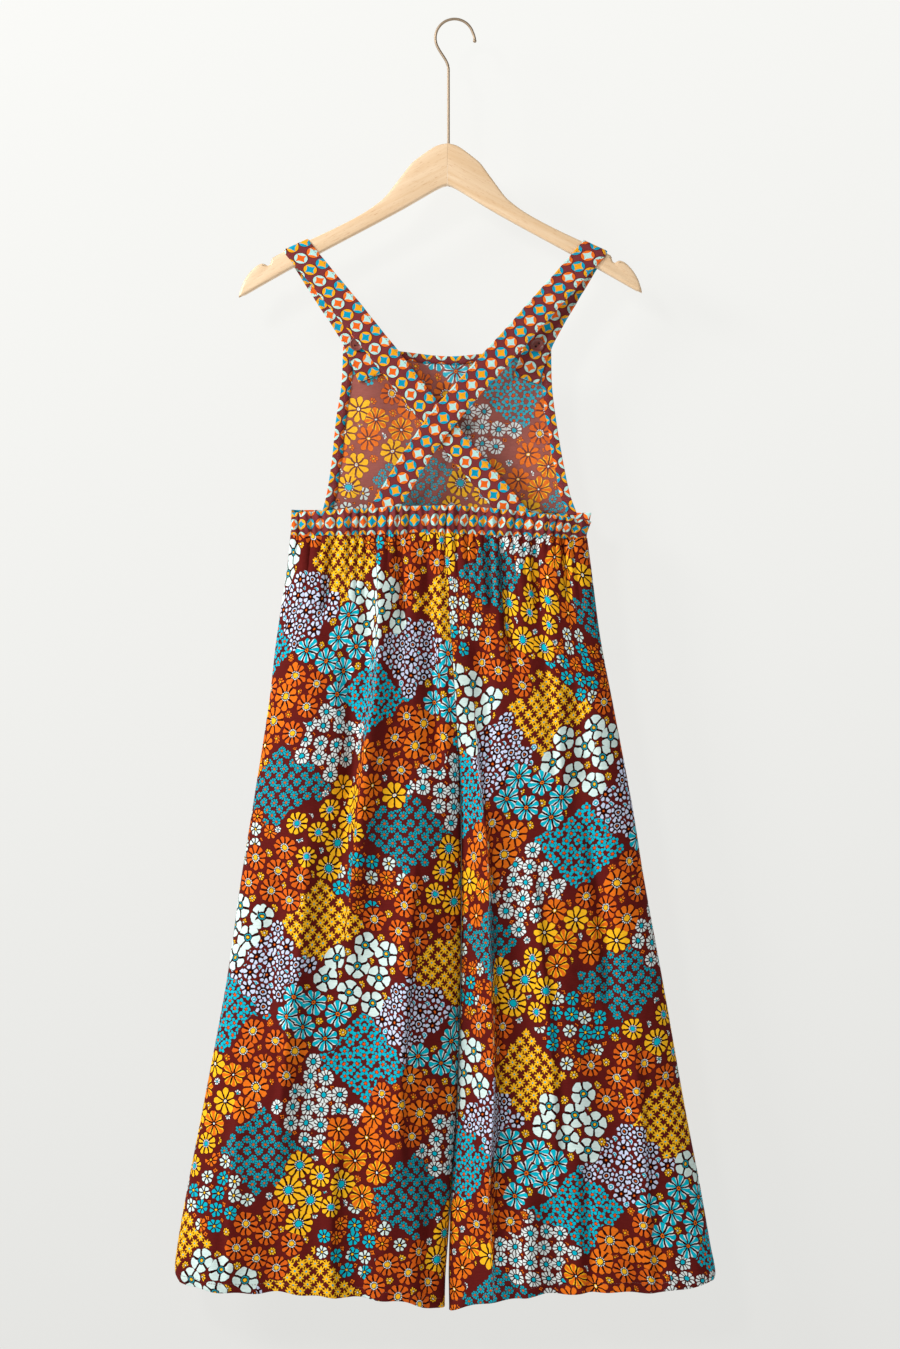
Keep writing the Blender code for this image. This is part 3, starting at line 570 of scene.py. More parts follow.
def sewn(name, lines):
    """Rows of stitches, joined: each line is its places in mm and the way out of the cloth there."""
    verts, faces = [], []
    for places, outwards in lines:
        run = np.concatenate([[0.0], np.cumsum(np.linalg.norm(np.diff(places, axis=0), axis=1))])
        begins = np.arange(STITCH / 2, run[-1] - STITCH, STITCH)
        for begin in begins:
            ends = [np.array([np.interp(at, run, places[:, n]) for n in range(3)])
                    for at in (begin, begin + STITCH - STITCH_GAP)]
            out = np.array([np.interp(begin + STITCH / 2, run, outwards[:, n]) for n in range(3)])
            beside = np.cross(ends[1] - ends[0], out)
            beside /= np.linalg.norm(beside)
            first = len(verts)
            verts.append(ends[0] - out * THREAD)
            for share in (0.16, 0.84):
                middle = ends[0] + (ends[1] - ends[0]) * share + out * THREAD * 0.2
                for turn in (n * math.pi / 3 for n in range(6)):
                    verts.append(middle + (beside * math.cos(turn) + out * math.sin(turn)) * THREAD / 2)
            verts.append(ends[1] - out * THREAD)
            for n in range(6):
                a, b = first + 1 + n, first + 1 + (n + 1) % 6
                faces += [(first, a, b), (a, a + 6, b + 6, b), (a + 6, first + 13, b + 6)]
    mesh = bpy.data.meshes.new(name)
    mesh.from_pydata([tuple(vert * MM) for vert in verts], [], faces)
    made = bpy.data.objects.new(name, mesh)
    bpy.context.scene.collection.objects.link(made)
    only(made)
    face_out()
    mesh.shade_smooth()
    mesh.materials.append(thread)
    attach(made, "root")
    return made


# The flowers of the print. Columns: petals, radius, how far a petal's tip tapers, how late it
# starts to, bare line between petals, where the petals start, share of a petal where its stripe
# starts, radius of the centre, of its eye, of the ring of dots; then colours of the petals, the
# stripe, the centre, the eye and the dots.
MAROON, MUSTARD, ORANGE, DEEP_ORANGE = "#601a17", "#fcbc22", "#e6701a", "#d8601a"
TEAL, DARK_TEAL, MINT, LILAC, CREAM, RED, BROWN = (
    "#08b4c9", "#07a6b9", "#d6e9e4", "#cdd6ee", "#e4ebe9", "#e8520f", "#4a1512")
FLOWERS = {
    "bare ground": (5, 0.0, 0.2, 3, 0.2, 0.0, 1, 0.0, 0.0, 0.0, MAROON, MAROON, MAROON, MAROON, MAROON),
    "teal blossom": (5, 5.8, 0.42, 2, 0.0, 2.0, 1, 1.55, 0.0, 0.0, TEAL, TEAL, RED, RED, RED),
    "mustard star": (8, 6.0, 0.5, 1, 0.0, 0.0, 1, 1.0, 0.0, 0.0, MUSTARD, MUSTARD, DARK_TEAL, RED, RED),
    "tiny teal daisy": (8, 5.0, 0.26, 2, 0.34, 1.5, 1, 1.2, 0.0, 0.0, DARK_TEAL, TEAL, DEEP_ORANGE, RED, RED),
    "teal clover": (7, 8.3, 0.3, 2.4, 0.75, 2.1, 1, 1.3, 0.0, 0.0, TEAL, TEAL, MUSTARD, RED, RED),
    "mint clover": (7, 7.9, 0.3, 2.4, 0.75, 2.1, 1, 1.2, 0.0, 0.0, MINT, MINT, MUSTARD, RED, RED),
    "orange clover": (8, 8.1, 0.3, 2.4, 0.7, 2.1, 1, 1.2, 0.0, 0.0, ORANGE, ORANGE, MUSTARD, RED, RED),
    "white daisy": (11, 9.3, 0.22, 3, 0.55, 3.6, 1, 2.4, 0.0, 0.0, CREAM, CREAM, TEAL, CREAM, RED),
    "small white daisy": (10, 8.5, 0.22, 3, 0.55, 3.4, 1, 2.2, 0.0, 0.0, CREAM, CREAM, TEAL, CREAM, RED),
    "lilac daisy": (7, 9.3, 0.3, 2, 1.0, 3.9, 1, 1.3, 0.0, 0.0, LILAC, LILAC, DEEP_ORANGE, RED, RED),
    "lilac rosette": (8, 9.4, 0.3, 2, 1.0, 5.2, 1, 0.9, 0.0, 2.9, LILAC, LILAC, DEEP_ORANGE, RED, LILAC),
    "mustard daisy": (11, 16.2, 0.22, 2.6, 1.05, 6.1, 1, 3.7, 0.0, 5.1,
        MUSTARD, MUSTARD, TEAL, TEAL, CREAM),
    "small mustard daisy": (10, 12.6, 0.22, 2.6, 0.95, 4.6, 1, 2.6, 0.0, 3.8,
        MUSTARD, MUSTARD, TEAL, TEAL, LILAC),
    "orange daisy": (9, 16.0, 0.22, 2.6, 1.1, 5.7, 1, 3.3, 0.0, 4.8, ORANGE, ORANGE, MUSTARD, MUSTARD, CREAM),
    "deep orange daisy": (10, 13.8, 0.22, 2.6, 1.0, 4.9, 1, 2.6, 0.0, 3.9,
        DEEP_ORANGE, ORANGE, MUSTARD, RED, CREAM),
    "striped teal daisy": (8, 15.2, 0.3, 2.2, 0.95, 2.8, 0.5, 2.1, 0.9, 0.0, TEAL, CREAM, ORANGE, BROWN, RED),
    "poppy": (5, 14.8, 0.2, 3.4, 1.25, 5.0, 1, 1.7, 0.0, 3.3, MINT, MINT, MUSTARD, MUSTARD, DARK_TEAL),
    "long mustard daisy": (8, 15.4, 0.36, 2.2, 0.95, 3.1, 1, 1.7, 0.9, 0.0,
        MUSTARD, MUSTARD, CREAM, MUSTARD, RED),
    "long orange daisy": (9, 14.8, 0.36, 2.2, 0.9, 3.2, 1, 1.9, 1.0, 0.0,
        ORANGE, ORANGE, MUSTARD, CREAM, RED),
    "striped orange daisy": (8, 14.6, 0.32, 2.4, 0.85, 2.2, 0.46, 1.1, 0.0, 0.0,
        ORANGE, MUSTARD, CREAM, CREAM, RED),
    "teal disc": (6, 3.7, 0.08, 2, 0.0, 0.0, 1, 2.4, 0.8, 0.0, LILAC, LILAC, TEAL, CREAM, RED),
    "tiny white flower": (7, 4.1, 0.3, 2, 0.4, 1.3, 1, 0.9, 0.0, 0.0, CREAM, CREAM, TEAL, RED, RED),
    "tiny mustard flower": (8, 4.5, 0.3, 2, 0.36, 1.3, 1, 0.9, 0.0, 0.0, MUSTARD, MUSTARD, CREAM, RED, RED),
    "tiny orange flower": (8, 4.7, 0.3, 2, 0.36, 1.4, 1, 1.0, 0.0, 0.0, ORANGE, ORANGE, MUSTARD, RED, RED),
    "orange diamond": (4, 2.9, 0.45, 1, 0.0, 0.0, 1, 0.9, 0.0, 0.0, ORANGE, ORANGE, BROWN, RED, RED),
}
FLOWER_NAMES = list(FLOWERS)
CODES = 32  # places in a lookup, of which the flowers fill the first ones
# A lookup holds numbers as shares of these: kinds in a bed, petals, their lateness, any length.
MOST_KINDS, MOST_PETALS, MOST_LATE, LONGEST = 8.0, 16.0, 5.0, 20.0
# Twelve kinds of bed fill the diamonds in turn. Each lattice plants some of them: bed to its first
# flower and how many in a row of the table it picks from. A later lattice lies over an earlier one.
DIAMOND = (115.0, 99.0)
BEDS = 12
BED_STEPS = (2, 5)
SMALL = {0: ("teal blossom", 1), 4: ("mustard star", 1), 8: ("tiny teal daisy", 1)}
MIDDLE = {2: ("lilac daisy", 2), 6: ("teal clover", 3), 10: ("white daisy", 2)}
MIDDLE_GAPS = {2: ("teal disc", 1), 6: ("orange diamond", 1), 10: ("orange diamond", 1)}
LARGE = {
    1: ("mustard daisy", 2),
    3: ("long mustard daisy", 3),
    5: ("orange daisy", 2),
    7: ("striped teal daisy", 1),
    9: ("poppy", 1),
    11: ("deep orange daisy", 1),
}
LARGE_GAPS = {
    1: ("tiny white flower", 1),
    3: ("tiny white flower", 3),
    5: ("tiny orange flower", 1),
    7: ("tiny mustard flower", 1),
    9: ("tiny mustard flower", 1),
    11: ("tiny mustard flower", 1),
}
# Columns: what it plants, spacing across and along, turn in degrees, jitter, shift in spacings.
LATTICES = (
    (SMALL, 10.3, 10.3, 45.0, 0.26, (0.3, 0.1)),
    (MIDDLE_GAPS, 17.6, 17.2, 6.0, 0.0, (0.5, 0.5)),
    (MIDDLE, 17.6, 17.2, 6.0, 0.2, (0.0, 0.0)),
    (LARGE_GAPS, 27.8, 27.8, 24.0, 0.08, (0.5, 0.5)),
    (LARGE, 27.8, 27.8, 24.0, 0.2, (0.0, 0.0)),
)
OUTLINE = 0.6  # dark line round a flower's petals
HALO = 0.9  # bare ground round a flower that lies over others
PETALS_DIFFER = 0.13  # how much shorter one petal of a flower is than another, at most
RING_DOTS, RING_DOT = 13.0, 0.68  # how many dots a ring has, and their radius
HAND_DRAWN = 2.2  # how far the drawing strays from true


def lookup(tree, code, rows):
    """Three numbers by code: a ramp in constant steps that is read at (row + 0.5) / CODES."""
    ramp = node(tree, "ValToRGB", (code,))
    ramp.color_ramp.interpolation = "CONSTANT"
    stops = ramp.color_ramp.elements
    while len(stops) < len(rows):
        stops.new(1.0)
    for n, row in enumerate(rows):
        stops[n].position = n / CODES
        stops[n].color = (*row[:3], 1.0)
    return ramp


def planted(tree, point, lattice, centre, code):
    """Lays one lattice of flowers over what is there: (middle of the flower, its code)."""
    beds, across, along, turn, jitter, shift = lattice
    grid = {
        "Location": (*shift, 0.0),
        "Rotation": (0.0, 0.0, math.radians(turn)),
        "Scale": (1.0 / across, 1.0 / along, 1.0),
    }
    cells = node(tree, "Mapping", {"Vector": point, **grid}, vector_type="POINT")
    near = node(tree, "TexVoronoi", {"Vector": cells, "Scale": 1.0, "Randomness": jitter},
                voronoi_dimensions="2D")
    middle = node(tree, "Mapping", {"Vector": near.outputs["Position"], **grid}, vector_type="TEXTURE")
    bed = 0.0
    for sign, step in zip((1.0, -1.0), BED_STEPS):
        slant = (1.0 / DIAMOND[0], sign / DIAMOND[1], 0.0)
        count = node(tree, "VectorMath", (middle, slant), operation="DOT_PRODUCT")
        count = node(tree, "Math", (count,), operation="FLOOR")
        bed = node(tree, "Math", (count, float(step), bed), operation="MULTIPLY_ADD")
    bed = node(tree, "Math", (bed, float(BEDS)), operation="FLOORED_MODULO")
    bed = node(tree, "Math", (bed, 1.0 / CODES, 0.5 / CODES), operation="MULTIPLY_ADD")
    rows = []
    for n in range(BEDS):
        first, kinds = beds.get(n, ("bare ground", 1))
        first = FLOWER_NAMES.index(first)
        radius = max(FLOWERS[name][1] for name in FLOWER_NAMES[first:first + kinds])
        rows.append((first / CODES, kinds / MOST_KINDS, (radius + HALO) / LONGEST if n in beds else 0.0))
    plan = node(tree, "SeparateColor", (lookup(tree, bed, rows),))
    chance = node(tree, "TexWhiteNoise", {"Vector": middle}, noise_dimensions="2D")
    kind = node(tree, "Math", (chance, MOST_KINDS - 0.001), operation="MULTIPLY")
    kind = node(tree, "Math", (kind, plan.outputs["Green"]), operation="MULTIPLY")
    kind = node(tree, "Math", (kind,), operation="FLOOR")
    kind = node(tree, "Math", (kind, 1.0 / CODES, plan.outputs["Red"]), operation="MULTIPLY_ADD")
    away = node(tree, "VectorMath", (point, middle), operation="DISTANCE")
    away = node(tree, "Math", (away, 1.0 / LONGEST), operation="MULTIPLY")
    covers = node(tree, "Math", (away, plan.outputs["Blue"]), operation="LESS_THAN")
    code = node(tree, "Mix", {0: covers, 2: code, 3: kind}, data_type="FLOAT")
    centre = node(tree, "Mix", {0: covers, 4: centre, 5: middle}, data_type="VECTOR")
    return centre, code


def floral_print(tree, place, ground, lines):
    """The print's colour at a place on the flat cloth, in mm."""
    drawn = node(tree, "TexNoise", {"Vector": place, "Scale": 0.16, "Detail": 1.0},
                 noise_dimensions="2D").outputs["Color"]
    drawn = node(tree, "VectorMath", (drawn, (0.5, 0.5, 0.5)), operation="SUBTRACT")
    point = node(tree, "VectorMath", (drawn, (HAND_DRAWN, HAND_DRAWN, 0.0), place),
                 operation="MULTIPLY_ADD")
    centre, code = (0.0, 0.0, 0.0), 0.0
    for lattice in LATTICES:
        centre, code = planted(tree, point, lattice, centre, code)
    code = node(tree, "Math", (code, 0.5 / CODES), operation="ADD")
    off = node(tree, "VectorMath", (point, centre), operation="SUBTRACT")
    away = node(tree, "VectorMath", (off,), operation="LENGTH")
    chance = node(tree, "TexWhiteNoise", {"Vector": centre}, noise_dimensions="2D")
    off = node(tree, "SeparateXYZ", (off,))
    angle = node(tree, "Math", (off.outputs["Y"], off.outputs["X"]), operation="ARCTAN2")
    angle = node(tree, "Math", (angle, 1 / (2 * math.pi), chance), operation="MULTIPLY_ADD")

    table = list(FLOWERS.values())
    outline, edge, inside = (
        node(tree, "SeparateColor", (lookup(tree, code, [
            tuple(row[n] / most for n, most in columns) for row in table]),))
        for columns in (
            ((0, MOST_PETALS), (1, LONGEST), (2, 1.0)),
            ((3, MOST_LATE), (4, 1.0), (5, LONGEST)),
            ((7, LONGEST), (8, LONGEST), (9, LONGEST)),
        )
    )
    petals = node(tree, "Math", (outline.outputs["Red"], MOST_PETALS), operation="MULTIPLY")
    radius = node(tree, "Math", (outline.outputs["Green"], LONGEST), operation="MULTIPLY")
    sector = node(tree, "Math", (angle, petals), operation="MULTIPLY")
    # Across a petal, 0 at its middle and 1 at the line to the next one.
    across = node(tree, "Math", (sector, 0.5), operation="PINGPONG")
    across = node(tree, "Math", (across, 2.0), operation="MULTIPLY")
    # Petals of one flower differ a little in length.
    which = node(tree, "Math", (sector, 0.5), operation="ADD")
    which = node(tree, "Math", (which,), operation="FLOOR")
    which = node(tree, "Math", (which, petals), operation="FLOORED_MODULO")
    which = node(tree, "Math", (which, chance), operation="ADD")
    uneven = node(tree, "TexWhiteNoise", {"W": which}, noise_dimensions="1D")
    uneven = node(tree, "Math", (uneven, -PETALS_DIFFER, 1.0), operation="MULTIPLY_ADD")
    late = node(tree, "Math", (edge.outputs["Red"], MOST_LATE), operation="MULTIPLY")
    taper = node(tree, "Math", (across, late), operation="POWER")
    taper = node(tree, "Math", (taper, outline.outputs["Blue"]), operation="MULTIPLY")
    taper = node(tree, "Math", (taper, radius), operation="MULTIPLY")
    tip = node(tree, "Math", (radius, uneven), operation="MULTIPLY")
    tip = node(tree, "Math", (tip, taper), operation="SUBTRACT")
    start = node(tree, "Math", (edge.outputs["Blue"], LONGEST), operation="MULTIPLY")
    start = node(tree, "Math", (taper, 0.35, start), operation="MULTIPLY_ADD")
    line = node(tree, "Math", (across, -math.pi, math.pi), operation="MULTIPLY_ADD")
    line = node(tree, "Math", (line, petals), operation="DIVIDE")
    line = node(tree, "Math", (line, away), operation="MULTIPLY")
    petal = node(tree, "Math", (away, tip), operation="LESS_THAN")
    begun = node(tree, "Math", (away, start), operation="GREATER_THAN")
    petal = node(tree, "Math", (petal, begun), operation="MULTIPLY")
    begun = node(tree, "Math", (line, edge.outputs["Green"]), operation="GREATER_THAN")
    petal = node(tree, "Math", (petal, begun), operation="MULTIPLY")
    outlined = node(tree, "Math", (tip, OUTLINE), operation="ADD")
    outlined = node(tree, "Math", (away, outlined), operation="LESS_THAN")
    stripe = lookup(tree, code, [(row[6],) * 3 for row in table])
    stripe = node(tree, "Math", (across, stripe), operation="GREATER_THAN")
    # A ring of dots round the centre.
    ring = node(tree, "Math", (inside.outputs["Blue"], LONGEST), operation="MULTIPLY")
    beside = node(tree, "Math", (angle, RING_DOTS), operation="MULTIPLY")
    beside = node(tree, "Math", (beside, 0.5), operation="PINGPONG")
    beside = node(tree, "Math", (beside, 2.0 * math.pi / RING_DOTS), operation="MULTIPLY")
    beside = node(tree, "Math", (beside, away), operation="MULTIPLY")
    beyond = node(tree, "Math", (away, ring), operation="SUBTRACT")
    dot = node(tree, "CombineXYZ", (beside, beyond))
    dot = node(tree, "VectorMath", (dot,), operation="LENGTH")
    dot = node(tree, "Math", (dot, RING_DOT), operation="LESS_THAN")
    ringed = node(tree, "Math", (ring, 1.0), operation="GREATER_THAN")
    dot = node(tree, "Math", (dot, ringed), operation="MULTIPLY")
    disc = node(tree, "Math", (inside.outputs["Red"], LONGEST), operation="MULTIPLY")
    disc = node(tree, "Math", (away, disc), operation="LESS_THAN")
    eye = node(tree, "Math", (inside.outputs["Green"], LONGEST), operation="MULTIPLY")
    eye = node(tree, "Math", (away, eye), operation="LESS_THAN")
    colours = [lookup(tree, code, [linear(row[n]) for row in table]) for n in range(10, 15)]
    striped = node(tree, "Mix", {0: stripe, 6: colours[0], 7: colours[1]}, data_type="RGBA")
    colour = linear(ground)
    for mask, over in ((outlined, linear(lines)), (petal, striped), (dot, colours[4]),
                       (disc, colours[2]), (eye, colours[3])):
        colour = node(tree, "Mix", {0: mask, 6: colour, 7: over}, data_type="RGBA")
    return colour


def woven(name, draw_print, ground, lines, fade=0.0, fade_to="#b98a76"):
    # Viscose twill: soft, matt, with a faint silky bloom where a fold turns away. The wrong side is
    # the same dye seen through the cloth, paler and browner.
    material, tree, shader = finish(name, Roughness=0.8, Specular_IOR_Level=0.03, Sheen_Weight=0.01,
                                    Sheen_Roughness=0.45)
    cloth = node(tree, "UVMap", uv_map="cloth")
    place = node(tree, "VectorMath", (cloth, (1.0 / MM, 1.0 / MM, 0.0)), operation="MULTIPLY")
    colour = draw_print(tree, place, ground, lines)
    threads = node(tree, "Mapping", {"Vector": place, "Scale": (1.0 / 9.0, 1.0 / 0.9, 1.0)})
    threads = node(tree, "TexNoise", {"Vector": threads, "Scale": 1.0, "Detail": 3.0},
                   noise_dimensions="2D")
    tone = node(tree, "MapRange", {0: threads, 1: 0.3, 2: 0.7, 3: 0.9, 4: 1.06})
    colour = node(tree, "Mix", {0: 1.0, 6: colour, 7: tone}, data_type="RGBA", blend_type="MULTIPLY")
    if fade:
        colour = node(tree, "Mix", {0: fade, 6: colour, 7: linear(fade_to)}, data_type="RGBA")
    tree.links.new(colour.outputs[2], shader.inputs["Base Color"])
    heights = []
    for turn in (0.0, 90.0):
        weave = node(tree, "Mapping", {"Vector": place, "Rotation": (0.0, 0.0, math.radians(turn)),
                                       "Scale": (1.0 / WEAVE, 1.0 / WEAVE, 1.0)})
        heights.append(node(tree, "TexWave", {"Vector": weave, "Scale": 0.31, "Distortion": 0.6,
                                              "Detail": 1.0}))
    height = node(tree, "Math", (heights[0], heights[1]), operation="MULTIPLY")
    crinkle = node(tree, "TexNoise", {"Vector": place, "Scale": 0.09, "Detail": 4.0,
                                      "Roughness": 0.6}, noise_dimensions="2D")
    height = node(tree, "Math", (crinkle, 9.0, height), operation="MULTIPLY_ADD")
    bump = node(tree, "Bump", {"Strength": 0.5, "Distance": 0.00018, "Height": height})
    tree.links.new(bump.outputs[0], shader.inputs["Normal"])
    return material


def mottled(name, dark, light, scale, detail, **values):
    """A finish whose colour clouds between two tones, scale times to a metre."""
    material, tree, shader = finish(name, **values)
    place = node(tree, "TexCoord").outputs["Object"]
    cloud = node(tree, "TexNoise", {"Vector": place, "Scale": scale, "Detail": detail})
    tone = node(tree, "Mix", {0: cloud, 6: linear(dark), 7: linear(light)}, data_type="RGBA")
    tree.links.new(tone.outputs[2], shader.inputs["Base Color"])
    return material


# Each panel is cut from its own place in the print, so flowers don't meet across a seam.
LEG_PANELS = {
    ("left", "back"): (0.0, 0.0),
    ("right", "back"): (37.0, 64.0),
    ("left", "front"): (171.0, 143.0),
    ("right", "front"): (262.0, 31.0),
}
# Columns and rows of a panel's grid, and the cloth that a step of the gathers takes up.
LEG_GRID = {"back": (172, 262), "front": (110, 200)}
TAKEN_UP = 0.48
# Width and length of a panel as cut flat, in metres, and its area.
LEG_FLAT = {"back": (0.34, 0.865, 0.23), "front": (0.33, 0.865, 0.22)}
printed = woven("printed viscose twill", floral_print, MAROON, "#2a0b0b")
printed_wrong_side = woven("printed viscose twill wrong side", floral_print, "#96534c", "#6b3530", 0.08)
# Polyester sewing thread: matt, twisted, a maroon near the cloth's ground.
thread = mottled("maroon sewing thread", "#4f1c1a", "#8a4640", TWIST, 1.0, Roughness=0.75, Sheen_Weight=0.2)
for (side_name, face_name), shift in LEG_PANELS.items():
    side, face = (-1 if side_name == "left" else 1), (-1 if face_name == "back" else 1)
    points = leg_points(side, face, *LEG_GRID[face_name])
    flat = cloth_place(points, side, face, TAKEN_UP * GATHERS[face]) + shift
    leg = panel(f"leg_cloth_{face_name}_{side_name}", points, flat, (0.0, face, 0.0), LEG_CLOTH,
                [printed, printed_wrong_side])
    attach(leg, "root")
    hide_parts(f"leg_{face_name}_{side_name}")
    line = points[len(points) - len(HEM_TURN) - HEM_ROWS - 1 - HEM_STITCHES_UP, 3:-2]
    out = np.broadcast_to((0.0, face, 0.0), line.shape)
    hem = sewn(f"hem_stitches_{face_name}_{side_name}", [(line + out * LEG_CLOTH / 2, out)])
    wide, long, area = LEG_FLAT[face_name]

# Waistbands ---------------------------------------------------------------------------------------
# Behind, a folded strip of the circle-printed cloth is a casing that its elastic draws up small, in
# uneven ruffles. In front the same strip is a flat band. Both are sewn to the legs along the waist.

BAND_HEIGHT = 30.0
BAND_DEPTH = 13.0
BAND_CLOTH = 0.55
CASING_HALF, BAND_HALF = 1.5, 0.85
CASING_TOP = (
    (-173.0, -542.0),
    (-120.0, -538.5),
    (-30.0, -534.0),
    (25.0, -535.0),
    (90.0, -541.5),
    (159.0, -550.5),
)
CASING_SIDES = ((-571.0, -173.0, 151.5), (-565.0, -173.0, 151.5), (-541.0, -172.5, 157.0))
RUFFLE = 7.2
RUFFLE_AT_EDGE = 0.62
CASING_FLAT_WIDTH = 500.0
BAND_PRINT = (3.2, 8.85)  # the bands' place in the print
CIRCLE_CELL = (14.5, 15.9)
CIRCLE = 6.5
STAR_ARC = 1.35
# Rings and their stars, down the cells of one row and then the next; every second cell is the same.
CIRCLE_COLOURS = (
    ("#f0a61c", "#0b97b8"), ("#b4dfd8", "#e8641c"), ("#ea6f22", "#b4dfd8"), ("#0a9dbd", "#efa31c"))


def circle_print(tree, place, ground, lines):
    """Rows of circles, each a ring with a four-pointed star in it that touches its edge."""
    off, cell = [], []
    for size, way in zip(CIRCLE_CELL, ((1.0, 0.0, 0.0), (0.0, 1.0, 0.0))):
        cells = node(tree, "VectorMath", (place, Vector(way) / size), operation="DOT_PRODUCT")
        cell.append(node(tree, "Math", (cells,), operation="FLOOR"))
        cells = node(tree, "Math", (cells, cell[-1]), operation="SUBTRACT")
        cells = node(tree, "Math", (cells, 0.5), operation="SUBTRACT")
        off.append(node(tree, "Math", (cells, size / CIRCLE), operation="MULTIPLY"))
    row, step = cell
    off = node(tree, "CombineXYZ", off)
    away = node(tree, "VectorMath", (off,), operation="LENGTH")
    ring = node(tree, "Math", (away, 1.0), operation="LESS_THAN")
    outlined = node(tree, "Math", (away, 1.0 + OUTLINE / CIRCLE), operation="LESS_THAN")
    # A side of the star is an arc about a point on the diagonal, from one tip on the ring to the next.
    corner = node(tree, "VectorMath", (off,), operation="ABSOLUTE")
    corner = node(tree, "VectorMath", (corner, (STAR_ARC, STAR_ARC, 0.0)), operation="DISTANCE")
    star = node(tree, "Math", (corner, math.hypot(STAR_ARC - 1.0, STAR_ARC)), operation="GREATER_THAN")
    star = node(tree, "Math", (star, ring), operation="MULTIPLY")
    # Two rows share a pair of colours that they take turn about, then two rows the other pair.
    family = node(tree, "Math", (row, 0.25), operation="MULTIPLY")
    family = node(tree, "Math", (family,), operation="FRACT")
    family = node(tree, "Math", (family, 0.4), operation="GREATER_THAN")
    turn = node(tree, "Math", (row, step), operation="ADD")
    turn = node(tree, "Math", (turn, 2.0), operation="FLOORED_MODULO")
    code = node(tree, "Math", (family, 2.0, turn), operation="MULTIPLY_ADD")
    code = node(tree, "Math", (code, 1.0 / CODES, 0.5 / CODES), operation="MULTIPLY_ADD")
    rings = lookup(tree, code, [linear(pair[0]) for pair in CIRCLE_COLOURS])
    stars = lookup(tree, code, [linear(pair[1]) for pair in CIRCLE_COLOURS])
    colour = linear(ground)
    for mask, over in ((outlined, linear(lines)), (ring, rings), (star, stars)):
        colour = node(tree, "Mix", {0: mask, 6: colour, 7: over}, data_type="RGBA")
    return colour


def band_depth(x):
    """Half depth of the waist at x, rounding to the side seams."""
    left, right = CASING_SIDES[0][1:]
    return SHALLOW + (BAND_DEPTH - SHALLOW) * side_curve(np.maximum(np.minimum(x - left, right - x), 0.0))


def band_points(face, columns, rows, half, ruffle):
    """(places, places on the flat cloth) of a band: a strip folded along its top, as a closed tube
    whose columns run across the waist."""
    share = np.linspace(0.0, 1.0, columns)[None, :] * np.ones((rows, 1))
    turn = np.linspace(0.0, 2.0 * math.pi, rows)[:, None] * np.ones((1, columns))
    up = 0.5 - 0.5 * np.sign(np.cos(turn)) * np.abs(np.cos(turn)) ** 0.6
    out = np.sign(np.sin(turn)) * np.abs(np.sin(turn)) ** 0.4
    sides = [read(CASING_SIDES, WAIST_SEAM[-1][1] + BAND_HEIGHT * up, n) for n in (1, 2)]
    x = sides[0] + (sides[1] - sides[0]) * share
    waist_x = LEG_OUTLINE[0][LEFT_SIDE] * (1.0 - share) + LEG_OUTLINE[0][RIGHT_SIDE] * share
    foot = read(WAIST_SEAM, x)
    head = read(CASING_TOP, x) if face < 0 else foot + BAND_HEIGHT
    swell = RUFFLE_AT_EDGE + (1.0 - RUFFLE_AT_EDGE) * np.sin(math.pi * up)
    wave = gather(waist_x, 0.5) + 0.12 * np.sin(waist_x * 0.9 + 7.0 * up) * ruffle / RUFFLE
    bulge = ruffle * wave * swell
    height = foot + (head - foot) * up + 0.25 * bulge * up**3
    depth = band_depth(x) + bulge * (0.5 + 0.5 * out) + half * out - 0.12 * ruffle
    ends = (share == 0.0) | (share == 1.0)
    depth = np.where(ends, 0.05 + 0.15 * (out + 1.0), depth)
    points = np.stack([x, face * depth, height], axis=-1)
    wave = gather(waist_x[0], 0.5)
    drawn_up = np.cumsum(np.abs(np.diff(wave, prepend=wave[0])))
    across = waist_x[0] - waist_x[0, 0]
    if ruffle:
        across = across + drawn_up * (CASING_FLAT_WIDTH - across[-1]) / drawn_up[-1]
    round_it = np.where(turn <= math.pi, up, 2.0 - up) * BAND_HEIGHT
    return points, np.stack([np.broadcast_to(across, x.shape), round_it], axis=-1)


circle_cloth = woven("circle-printed viscose twill", circle_print, "#7a3335", "#511a1c")
for name, face, columns, rows, half, ruffle, flat_size, held in (
    ("waistband_back", -1, 520, 34, CASING_HALF, RUFFLE, (0.5, 0.061), "gathered"),
    ("waistband_front", 1, 90, 26, BAND_HALF, 0.0, (0.33, 0.062), "stretched"),
):
    points, flat = band_points(face, columns, rows, half, ruffle)
    band = panel(f"{name}_cloth", points, flat + BAND_PRINT, None, BAND_CLOTH, [circle_cloth])
    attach(band, "root")
    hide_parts(name)

# Bib ----------------------------------------------------------------------------------------------
# One panel of the floral cloth with its wrong side inwards, paler and browner. Its edges are
# gathered a touch into the bindings, so small puckers run in from them.

BINDING = 10.5
NECK_BINDING = 9.0
BIB_TOP_DEPTH = 10.0
BIB_BULGE = 5.0
BIB_INTO_BINDING = 5.0
BIB_INTO_BAND = 2.5
# Columns: height, left side, right side; then across, height of the neckline.
BIB_SIDES = (
    (-357.0, -116.0, 113.0),
    (-399.0, -118.0, 114.0),
    (-436.0, -124.0, 118.5),
    (-484.0, -129.0, 126.5),
    (-520.0, -134.5, 134.0),
    (-540.0, -139.5, 141.0),
)
BIB_PRINT = (670.0, 600.0)  # its place in the print
BIB_GRID = (110, 96)  # columns and rows
NECKLINE = ((-116.0, -357.0), (-59.0, -361.5), (-2.0, -367.5), (40.0, -364.5), (113.0, -359.0))


def bib_foot(x):
    """Height of the line along which the bib meets the waistband."""
    return read(WAIST_SEAM, x) + BAND_HEIGHT


